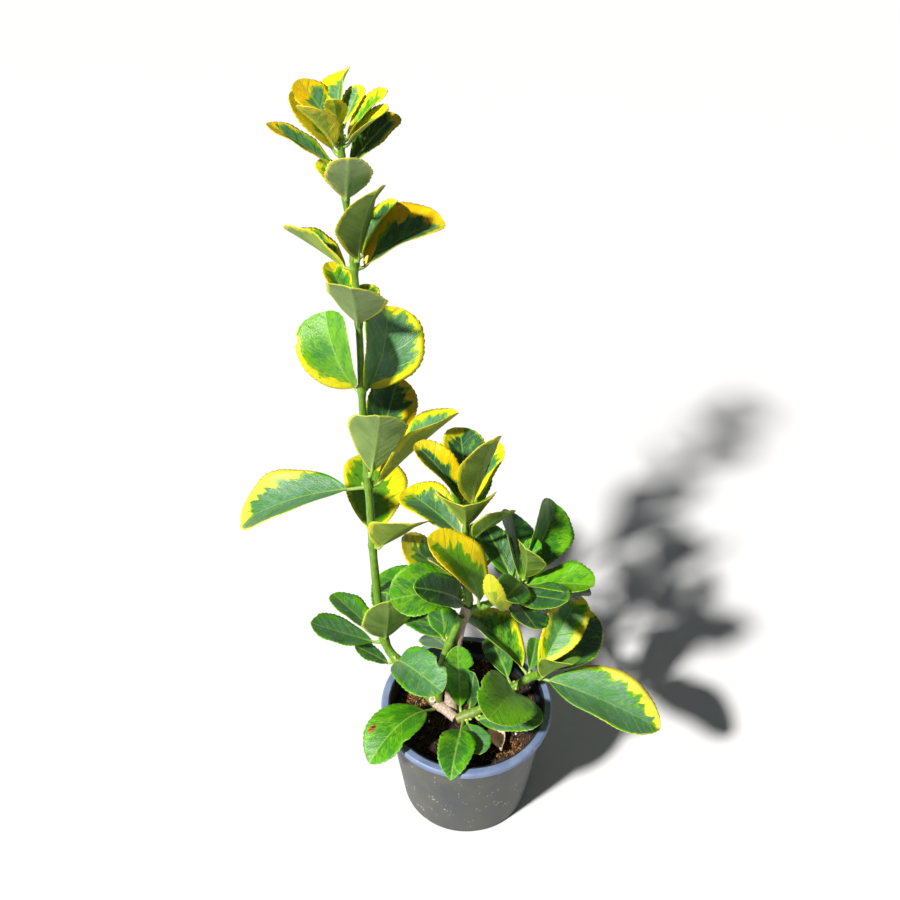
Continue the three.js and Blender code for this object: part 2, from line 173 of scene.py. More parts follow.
camera_data = bpy.data.cameras.new("camera")
camera_data.lens = CAMERA_LENS
camera = bpy.data.objects.new("camera", camera_data)
camera.location = CAMERA_PLACE
camera.rotation_euler = (CAMERA_TILT, 0, 0)
bpy.context.scene.collection.objects.link(camera)
bpy.context.scene.camera = camera
bpy.context.scene.view_settings.view_transform = "Standard"

key_data = bpy.data.lights.new("key", "SUN")
key_data.energy = KEY_POWER
key_data.angle = KEY_SOFTNESS
key_data.color = KEY_COLOUR
key = bpy.data.objects.new("key", key_data)
key.rotation_euler = KEY_FROM.to_track_quat("Z", "Y").to_euler()
bpy.context.scene.collection.objects.link(key)

world = bpy.data.worlds.new("surround")
bpy.context.scene.world = world
world.use_nodes = True
background = world.node_tree.nodes["Background"]
background.inputs["Color"].default_value = SURROUND_COLOUR
background.inputs["Strength"].default_value = SURROUND_POWER


def piece(name, mesh, materials):
    """A finished object at the origin, smooth shaded, with its materials."""
    for material in materials:
        mesh.materials.append(material)
    mesh.shade_smooth()
    made = bpy.data.objects.new(name, mesh)
    bpy.context.scene.collection.objects.link(made)
    return made


def from_bmesh(name, bm):
    """A mesh made of a bmesh, which is then freed."""
    mesh = bpy.data.meshes.new(name)
    bm.to_mesh(mesh)
    bm.free()
    return mesh


# The floor is painted board, pale and matt, with the faintest tooth.
floor_paint, tree = new_material("painted_board")
grain = add(tree, "ShaderNodeTexNoise", {"Scale": 60.0, "Detail": 2.0})
surface(tree, linear("#d6d7dc"), 0.8, grain, 0.03)

bm = bmesh.new()
bmesh.ops.create_grid(bm, x_segments=1, y_segments=1, size=FLOOR_HALF)
bmesh.ops.translate(bm, verts=bm.verts, vec=(0, 0, -FLOOR_DROP * MM))
floor = piece("floor", from_bmesh("floor", bm), [floor_paint])
floor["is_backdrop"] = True
print("camera and floor are placed")

# %% [markdown]
# The pot is injection-moulded polypropylene: a thin tapering wall, a shoulder, a flat turned-out
# rim and drain holes in the floor. Its profile is a handful of points, spun once round the axis.
# A boolean cuts the drain holes, and a bevel modifier rounds the edges, as a mould does.

# %% Pot shell
POT_HEIGHT = 70
RIM_RADIUS = 45
RIM_WIDTH = 4.5
RIM_DEPTH = 3.2
MOUTH_RADIUS = RIM_RADIUS - RIM_WIDTH
SHOULDER_RADIUS = 42
SHOULDER_DROP = 9
BASE_RADIUS = 34.5
WALL = 1.2
BASE_EDGE = 1.5
EDGE_CUT = 0.8
POT_FLOOR = 2
DRAIN_COUNT = 6
DRAIN_RADIUS = 3
DRAIN_CIRCLE = 22
DRAIN_STEPS = 24
EDGE_ROUND = 0.35
SHARP_ANGLE = math.radians(28)
ROUND_STEPS = 128
WELD_GAP = 0.01


def spun(profile):
    """A closed turned shape: points as (radius, height) in mm, spun once round the axis."""
    bm = bmesh.new()
    line = [bm.verts.new((r * MM, 0, z * MM)) for r, z in profile]
    edges = [bm.edges.new(pair) for pair in zip(line, line[1:])]
    bmesh.ops.spin(bm, geom=line + edges, cent=(0, 0, 0), axis=(0, 0, 1), angle=2 * math.pi,
                   steps=ROUND_STEPS, use_merge=True, use_duplicate=False)
    bmesh.ops.remove_doubles(bm, verts=bm.verts, dist=WELD_GAP * MM)
    bmesh.ops.recalc_face_normals(bm, faces=bm.faces)
    return bm


shoulder = POT_HEIGHT - SHOULDER_DROP
rim_bottom = POT_HEIGHT - RIM_DEPTH
floor_radius = BASE_RADIUS - WALL
wall_slope = (MOUTH_RADIUS - floor_radius) / (POT_HEIGHT - POT_FLOOR)
pot_profile = [
    (0, 0), (BASE_RADIUS - BASE_EDGE, 0), (BASE_RADIUS, BASE_EDGE),
    (SHOULDER_RADIUS - EDGE_CUT, shoulder), (SHOULDER_RADIUS, shoulder + EDGE_CUT),
    (SHOULDER_RADIUS, rim_bottom), (RIM_RADIUS, rim_bottom),
    (RIM_RADIUS, POT_HEIGHT - EDGE_CUT), (RIM_RADIUS - EDGE_CUT, POT_HEIGHT),
    (MOUTH_RADIUS, POT_HEIGHT), (floor_radius, POT_FLOOR), (0, POT_FLOOR),
]
pot_bm = spun(pot_profile)

drain_bm = bmesh.new()
for k in range(DRAIN_COUNT):
    turn = 2 * math.pi * (k + 0.5) / DRAIN_COUNT
    centre = (DRAIN_CIRCLE * MM * math.cos(turn), DRAIN_CIRCLE * MM * math.sin(turn), 0)
    bmesh.ops.create_cone(drain_bm, cap_ends=True, segments=DRAIN_STEPS, radius1=DRAIN_RADIUS * MM,
                          radius2=DRAIN_RADIUS * MM, depth=3 * POT_FLOOR * MM,
                          matrix=Matrix.Translation(centre))
drains = piece("drains", from_bmesh("drains", drain_bm), [])


def applied(made, name):
    """The mesh of an object with its modifiers applied."""
    graph = bpy.context.evaluated_depsgraph_get()
    mesh = bpy.data.meshes.new_from_object(made.evaluated_get(graph))
    mesh.name = name
    return mesh


blank = piece("pot_blank", from_bmesh("pot_blank", pot_bm), [])
cut = blank.modifiers.new("drain_holes", "BOOLEAN")
cut.operation = "DIFFERENCE"
cut.solver = "EXACT"
cut.object = drains
pot_mesh = applied(blank, "pot_shell")
for spare in (blank, drains):
    bpy.data.objects.remove(spare)
print("pot shell:", len(pot_mesh.polygons), "faces")

# %% [markdown]
# Polypropylene comes out of the mould matt and cool grey. The rim band is painted a paler blue grey,
# a painted sky reflection, water leaves lime specks, and soil dust clings to the wall. Inside, the
# wall is painted nearly black, which is painted shade. All of it is worked out from the pot's own heights
# and radii.

# %% Pot material and placing
RIM_FADE = 0.3

pot_plastic, tree = new_material("moulded_polypropylene")
place = plant_space(tree)
above = part(place, "Z")
radius = reach_of(scaled(place, (1, 1, 0)))
# Inside the pot the wall is painted nearly black, with paler patches: painted shade.
wall_radius = maths("MULTIPLY_ADD", above, wall_slope, (BASE_RADIUS - 0.5 * WALL) * MM)
inside = maths("LESS_THAN", radius, wall_radius)
inside = maths("MULTIPLY", inside, maths("GREATER_THAN", above, 0.5 * POT_FLOOR * MM))
# The rim band is painted paler and bluer: a painted sky reflection.
rim = ramp(above, (rim_bottom - RIM_FADE) * MM, (rim_bottom + RIM_FADE) * MM)
cloud = cloudy(place, 70.0, 5.0, 0.65)
fine = cloudy(place, 900.0, 3.0)
specks = add(tree, "ShaderNodeTexVoronoi", {"Vector": place, "Scale": 420.0, "Randomness": 1.0})
speck = maths("LESS_THAN", specks, ramp(cloudy(place, 130.0), 0.47, 0.72, 0.0, 0.32))
dust = ramp(cloud, 0.35, 0.72)
colour = mixed(rim, mixed(dust, "#34383c", "#5a5b53"), mixed(dust, "#5d6f94", "#7c8cac"))
colour = mixed(inside, colour, mixed(ramp(cloud, 0.60, 0.66), "#1d2430", "#4b5566"))
colour = mixed(speck, colour, "#96968b")
surface(tree, colour, ramp(dust, 0.0, 1.0, 0.45, 0.7), fine, 0.05, IOR=1.49)

pot = piece("pot_shell", pot_mesh, [pot_plastic])
broken_edges = pot.modifiers.new("broken_edges", "BEVEL")
broken_edges.width = EDGE_ROUND * MM
broken_edges.segments = 3
broken_edges.limit_method = "ANGLE"
broken_edges.angle_limit = SHARP_ANGLE
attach(pot, "root")
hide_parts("pot")

# %% [markdown]
# Coir compost is dark, damp and crumbly, with orange fibres showing where it has dried and white
# perlite grains. A spun bed gives the body, moved up and down by fractal noise. Hundreds of small
# crumbs, fibres laid in patches and a few grains lie on it, because only loose pieces catch light
# and cast the tiny shadows that make soil look like soil. Draws and noise have seeds of their own,
# so that each run gives the same soil.

# %% Compost bed
SOIL_TOP = 58
SOIL_ROOM = 0.35
SOIL_LIFT = 0.3
SOIL_RINGS = 52
HUMPS = 1.1
BROAD_HUMPS = 0.07
SMALL_HUMPS = 0.9
SMALL_SHARE = 0.35
CLIMB_FROM = 30
CLIMB_SPAN = 9
CLIMB = 0.9


def soil_radius(z):
    """The compost's radius at a height, in mm, just clear of the pot's wall."""
    return floor_radius + wall_slope * (z - POT_FLOOR) - SOIL_ROOM


def soil_height(x, y):
    """The top of the compost above a place, in mm: humps of two sizes, and a climb to the wall."""
    broad = noise.fractal(Vector((x * BROAD_HUMPS, y * BROAD_HUMPS, 3.1)), 0.9, 2.1, 4)
    small = noise.noise(Vector((x * SMALL_HUMPS, y * SMALL_HUMPS, 8.4)))
    climb = max(0.0, (math.hypot(x, y) - CLIMB_FROM) / CLIMB_SPAN)
    return SOIL_TOP + HUMPS * (broad + SMALL_SHARE * small) + CLIMB * climb


soil_edge = soil_radius(SOIL_TOP)
bottom = POT_FLOOR + SOIL_LIFT
profile = [(soil_edge * k / SOIL_RINGS, SOIL_TOP) for k in range(SOIL_RINGS + 1)]
profile += [(soil_radius(bottom), bottom), (0, bottom)]
soil_bm = spun(profile)
for vert in soil_bm.verts:
    if vert.co.z > (SOIL_TOP - 1) * MM:
        vert.co.z = soil_height(vert.co.x / MM, vert.co.y / MM) * MM
soil_mesh = from_bmesh("soil_bed", soil_bm)
print("compost bed:", len(soil_mesh.polygons), "faces")

# %% Compost materials
def compost_material(name, dark_code, light_code, grain_scale, roughness):
    """Loose damp matter: two colours dealt out by noise, rough and pitted."""
    material, tree = new_material(name)
    place = plant_space(tree)
    patch = cloudy(place, grain_scale, 6.0)
    colour = mixed(ramp(patch, 0.38, 0.66), dark_code, light_code)
    surface(tree, colour, roughness, cloudy(place, grain_scale * 3, 4.0), 0.4)
    return material


damp_coir = compost_material("damp_coir_compost", "#130d09", "#3a2618", 260.0, 0.85)
coir_fibre = compost_material("dried_coir_fibre", "#7a4a26", "#b9834a", 150.0, 0.8)
perlite = compost_material("expanded_perlite", "#cfcabd", "#efece2", 900.0, 0.9)
dry_crumb = compost_material("dried_bark_crumb", "#4f2f18", "#b08a45", 300.0, 0.85)
dead_leaf = compost_material("dried_leaf", "#dcb498", "#f4dccb", 160.0, 0.8)

soil = piece("soil_bed", soil_mesh, [damp_coir])
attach(soil, "root")
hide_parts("soil")


# %% Crumbs and grains
CRUMB_COUNT = 700
PERLITE_COUNT = 16
PERLITE_SPOTS = ((-22.5, 1), (-11, -2), (-20, -4), (4, 30), (17, 18), (26, -12), (-6, -26))
DRY_PATCHES = ((20, -23, 5), (-26, 8, 5), (14, 30, 5))
DRY_EACH = 110
DRY_STRAYS = 60
LUMP_SQUASH = ((0.7, 1.3), (0.6, 1.0), (0.5, 0.9))
LUMP_LIFT = 0.15
LUMP_UNEVEN = 0.12
LUMP_GRAIN = 1400
draw = random.Random(7)
# Without a seed, noise_vector starts from the clock and differs in each run.
noise.seed_set(7)


def scatter_lumps(name, count, sizes, reach, material, spots=()):
    """Small squashed lumps on the compost, the first at given spots and the rest all over it."""
    bm = bmesh.new()
    for k in range(count):
        turn = draw.uniform(0, 2 * math.pi)
        away = reach * math.sqrt(draw.random())
        x, y = away * math.cos(turn), away * math.sin(turn)
        if k < len(spots):
            x, y = spots[k]
        size = draw.uniform(*sizes)
        spot = Matrix.Translation((x * MM, y * MM, (soil_height(x, y) + LUMP_LIFT * size) * MM))
        turned = Matrix.Rotation(draw.uniform(0, math.pi), 4, Vector((draw.random(), draw.random(), 1)))
        shape = Matrix.Diagonal((*[draw.uniform(*span) for span in LUMP_SQUASH], 1))
        bmesh.ops.create_icosphere(bm, subdivisions=1, radius=size * MM / 2, matrix=spot @ turned @ shape)
    for vert in bm.verts:
        vert.co += LUMP_UNEVEN * MM * noise.noise_vector(vert.co * LUMP_GRAIN)
    lumps = piece(name, from_bmesh(name, bm), [material])
    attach(lumps, "root")
    print(name + ":", count, "lumps")


scatter_lumps("soil_crumbs", CRUMB_COUNT, (0.7, 2.4), soil_edge - 1.5, damp_coir)
scatter_lumps("soil_perlite", PERLITE_COUNT, (1.2, 2.6), soil_edge - 4, perlite, PERLITE_SPOTS)
dry_spots = [(draw.gauss(x, wide), draw.gauss(y, wide))
             for x, y, wide in DRY_PATCHES for k in range(DRY_EACH)]
dry_spots = [spot for spot in dry_spots if math.hypot(*spot) < soil_edge - 1.5]
dry_count = len(dry_spots) + DRY_STRAYS
scatter_lumps("soil_dry_crumbs", dry_count, (0.5, 1.7), soil_edge - 2, dry_crumb, dry_spots)


# %% Fibres and a dried leaf
def tube_mesh(name, lines, sides):
    """A mesh of round tubes with closed ends. Each line is a list of (point in mm, radius in mm)."""
    curve = bpy.data.curves.new(name, "CURVE")
    curve.dimensions = "3D"
    curve.bevel_depth = MM
    curve.bevel_resolution = sides
    curve.use_fill_caps = True
    for line in lines:
        spline = curve.splines.new("POLY")
        spline.points.add(len(line) - 1)
        for knot, (point, thick) in zip(spline.points, line):
            knot.co = (*(Vector(point) * MM), 1.0)
            knot.radius = thick
    holder = bpy.data.objects.new(name, curve)
    bpy.context.scene.collection.objects.link(holder)
    mesh = applied(holder, name)
    bpy.data.objects.remove(holder)
    return mesh


FIBRE_PATCHES = ((12, 34, 6), (22, -21, 9), (-30, 12, 7), (30, 6, 6), (-8, -30, 9), (0, 0, 34))
FIBRES_EACH = (50, 60, 50, 30, 30, 130)
FIBRE_STEPS = 5
FIBRE_LONG = (1.8, 5.5)
FIBRE_THICK = (0.07, 0.16)
FIBRE_CLEAR = 0.3
FIBRE_HUMP = 0.9
fibres = []
for (centre_x, centre_y, width), count in zip(FIBRE_PATCHES, FIBRES_EACH):
    for k in range(count):
        x = draw.gauss(centre_x, width / 2)
        y = draw.gauss(centre_y, width / 2)
        turn = draw.uniform(0, 2 * math.pi)
        bow = draw.uniform(-0.5, 0.5)
        long = draw.uniform(*FIBRE_LONG)
        line = []
        for step in range(FIBRE_STEPS + 1):
            along = long * (step / FIBRE_STEPS - 0.5)
            facing = turn + bow * step / FIBRE_STEPS
            px, py = x + along * math.cos(facing), y + along * math.sin(facing)
            lift = FIBRE_CLEAR + FIBRE_HUMP * math.sin(math.pi * step / FIBRE_STEPS) * draw.random()
            line.append(((px, py, soil_height(px, py) + lift), draw.uniform(*FIBRE_THICK)))
        if all(math.hypot(p[0], p[1]) < soil_edge - 1 for p, _ in line):
            fibres.append(line)
fibre_piece = piece("soil_fibres", tube_mesh("soil_fibres", fibres, sides=0), [coir_fibre])
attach(fibre_piece, "root")
print("fibres:", len(fibres))

# One dried leaf lies curled on the compost at the right front.
DEAD_LEAF_PLACE = (16, -18)
DEAD_LEAF_TURN = math.radians(12)
DEAD_LEAF_LONG = 16
DEAD_LEAF_WIDE = 9
DEAD_LEAF_LIFT = 2.0
DEAD_LEAF_THICK = 0.3
DEAD_LEAF_CUP = 2.6
DEAD_LEAF_ARCH = 3.2
DEAD_LEAF_CRUMPLE = 0.8
bm = bmesh.new()
bmesh.ops.create_grid(bm, x_segments=10, y_segments=24, size=1)
for vert in bm.verts:
    over, on = vert.co.x, (1 - vert.co.y) / 2
    half = DEAD_LEAF_WIDE / 2 * math.sin(math.pi * min(0.98, max(0.04, on)) ** 0.6)
    curl = DEAD_LEAF_CUP * over * over + DEAD_LEAF_ARCH * (2 * on - 1) ** 2
    curl += DEAD_LEAF_CRUMPLE * noise.noise(Vector((over, 3 * on, 5.0)))
    vert.co = Vector((over * half, (0.5 - on) * DEAD_LEAF_LONG, curl)) * MM
dry_x, dry_y = DEAD_LEAF_PLACE
dry_z = soil_height(dry_x, dry_y) + DEAD_LEAF_LIFT
bmesh.ops.rotate(bm, verts=bm.verts, cent=(0, 0, 0), matrix=Matrix.Rotation(DEAD_LEAF_TURN, 3, "Z"))
bmesh.ops.translate(bm, verts=bm.verts, vec=(dry_x * MM, dry_y * MM, dry_z * MM))
dry = piece("soil_dried_leaf", from_bmesh("soil_dried_leaf", bm), [dead_leaf])
blade_body = dry.modifiers.new("blade_body", "SOLIDIFY")
blade_body.thickness = DEAD_LEAF_THICK * MM
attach(dry, "root")
print("dried leaf placed")

# %% [markdown]
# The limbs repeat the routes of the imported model: a few points along each, a smooth curve through
# them and a taper. On the real plant a green stem swells a little at each pair of leaves and the
# woody foot is fissured bark. A bevelled curve makes each tube, and its radius list holds the
# swellings, so the nodes are real relief and not paint.

# %% Limb routes
LIMBS = {
    "trunk": dict(route=[(-8, 2.5, 54), (-7.5, 8, 78), (-4, 17, 105), (1, 22, 121)],
                  radii=(3.3, 2.4), flare=4, knuckle=0.9),
    "leader_stem": dict(
        route=[(-17, 5, 62.5), (-27, 12, 70), (-36, 21, 76), (-43, 27, 84), (-46, 32, 104),
               (-48, 38.5, 137), (-49, 45.5, 172), (-50, 51, 200), (-50.5, 56.5, 227),
               (-50.5, 62.5, 257), (-51.5, 69, 290), (-54, 75.5, 322), (-55, 80, 345), (-55.5, 82, 354)],
        radii=(2.5, 1.3)),
    "green_bough": dict(route=[(-15, 4, 64), (-14, 8, 84), (-11, 10, 98), (-3, 17, 118)],
                        radii=(2.1, 1.9)),
    "crown_bough": dict(route=[(1, 22, 121), (-1, 26, 145), (-1, 27, 162), (-0.5, 32, 184)],
                        radii=(2.2, 1.4)),
    "right_bough": dict(route=[(2, 21, 118), (12, 17, 128), (22, 14, 140), (29, 14, 152)],
                        radii=(2.2, 1.5)),
    "low_bough": dict(route=[(-5, -6, 62.5), (8, -3, 68), (24, 4, 76), (33, 6, 82), (38, 4, 88)],
                      radii=(2.5, 1.9)),
    "old_wood": dict(route=[(-18.5, 6.5, 62.6), (-11, 0, 62.6), (-5, -6, 62.6)], radii=(2.8, 2.5)),
    "cut_stub": dict(route=[(-17, 5, 62.6), (-18, 4, 66.5)], radii=(2.3, 2.1)),
}
SPLINE_STEPS = 8
FLARE_FADE = 5
KNUCKLE_SPAN = 5
KNUCKLE_BELOW_TIP = 2
NODE_SWELL = 0.45
NODE_SPAN = 1.6


class Route:
    """A smooth line through given points, with a place and a heading at any distance."""

    def __init__(self, points, steps=SPLINE_STEPS):
        knots = [np.array(p, float) for p in points]
        knots = [2 * knots[0] - knots[1], *knots, 2 * knots[-1] - knots[-2]]
        line = []
        for a, b, c, d in zip(knots, knots[1:], knots[2:], knots[3:]):
            for w in (k / steps for k in range(steps)):
                line.append(0.5 * (2 * b + (c - a) * w + (2 * a - 5 * b + 4 * c - d) * w ** 2
                                   + (3 * b - a - 3 * c + d) * w ** 3))
        line.append(knots[-2])
        self.line = np.array(line)
        self.sums = np.concatenate([[0], np.cumsum(np.linalg.norm(np.diff(self.line, axis=0), axis=1))])
        self.length = self.sums[-1]

    def at(self, distance):
        """The place and the unit heading at a distance from the start."""
        k = int(np.clip(np.searchsorted(self.sums, distance) - 1, 0, len(self.line) - 2))
        share = (distance - self.sums[k]) / (self.sums[k + 1] - self.sums[k])
        step = self.line[k + 1] - self.line[k]
        return self.line[k] + share * step, step / np.linalg.norm(step)


ROUTES = {name: Route(limb["route"]) for name, limb in LIMBS.items()}


def limb_radius(name, distance):
    """The radius of a limb in mm, with the trunk's root flare and swollen top."""
    limb = LIMBS[name]
    length = ROUTES[name].length
    off_knuckle = (length - KNUCKLE_BELOW_TIP - distance) / KNUCKLE_SPAN
    swelling = limb.get("flare", 0) * math.exp(-distance / FLARE_FADE)
    swelling += limb.get("knuckle", 0) * math.exp(-off_knuckle ** 2)
    first, last = limb["radii"]
    return first + (last - first) * min(1, distance / length) + swelling


print("limb lengths in mm:", {name: round(route.length) for name, route in ROUTES.items()})

# %% [markdown]
# Every leaf is one row: where its stalk leaves the limb, its heading and lift, its length and
# width, and its own fold, curl and roll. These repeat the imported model's rows. The rest is dress:
# how broad its gold margin is and to which side it leans, how blue-grey its middle is, and the
# bites and brown spots that this plant really has.

# %% Leaf rows
TIP_POWER = 0.52
NO_RUST = (0, 0, -9)


# Four of the dress values paint light: blue is a painted sky reflection on the gloss, deep is partly the
# leaf's own darker green and partly painted shade, lime is partly fresh green and partly painted sun, and
# warm is a painted backlight glow.
def leaf(at, turn, rise, long, wide, fold=18, curl=12, roll=0, stalk=3, point=TIP_POWER, cup=0.3,
         gold=0.0, lean=0.0, tip=0.0, blue=0.35, deep=0.2, lime=0.1, warm=0.0,
         specks=0.0, rust=NO_RUST, bite=None):
    """One leaf, in mm and degrees. Gold is a share of the half width, and most leaves have none.
    Rust is a place and a radius. A bite is a side, a place, a length and a depth."""
    return dict(locals())


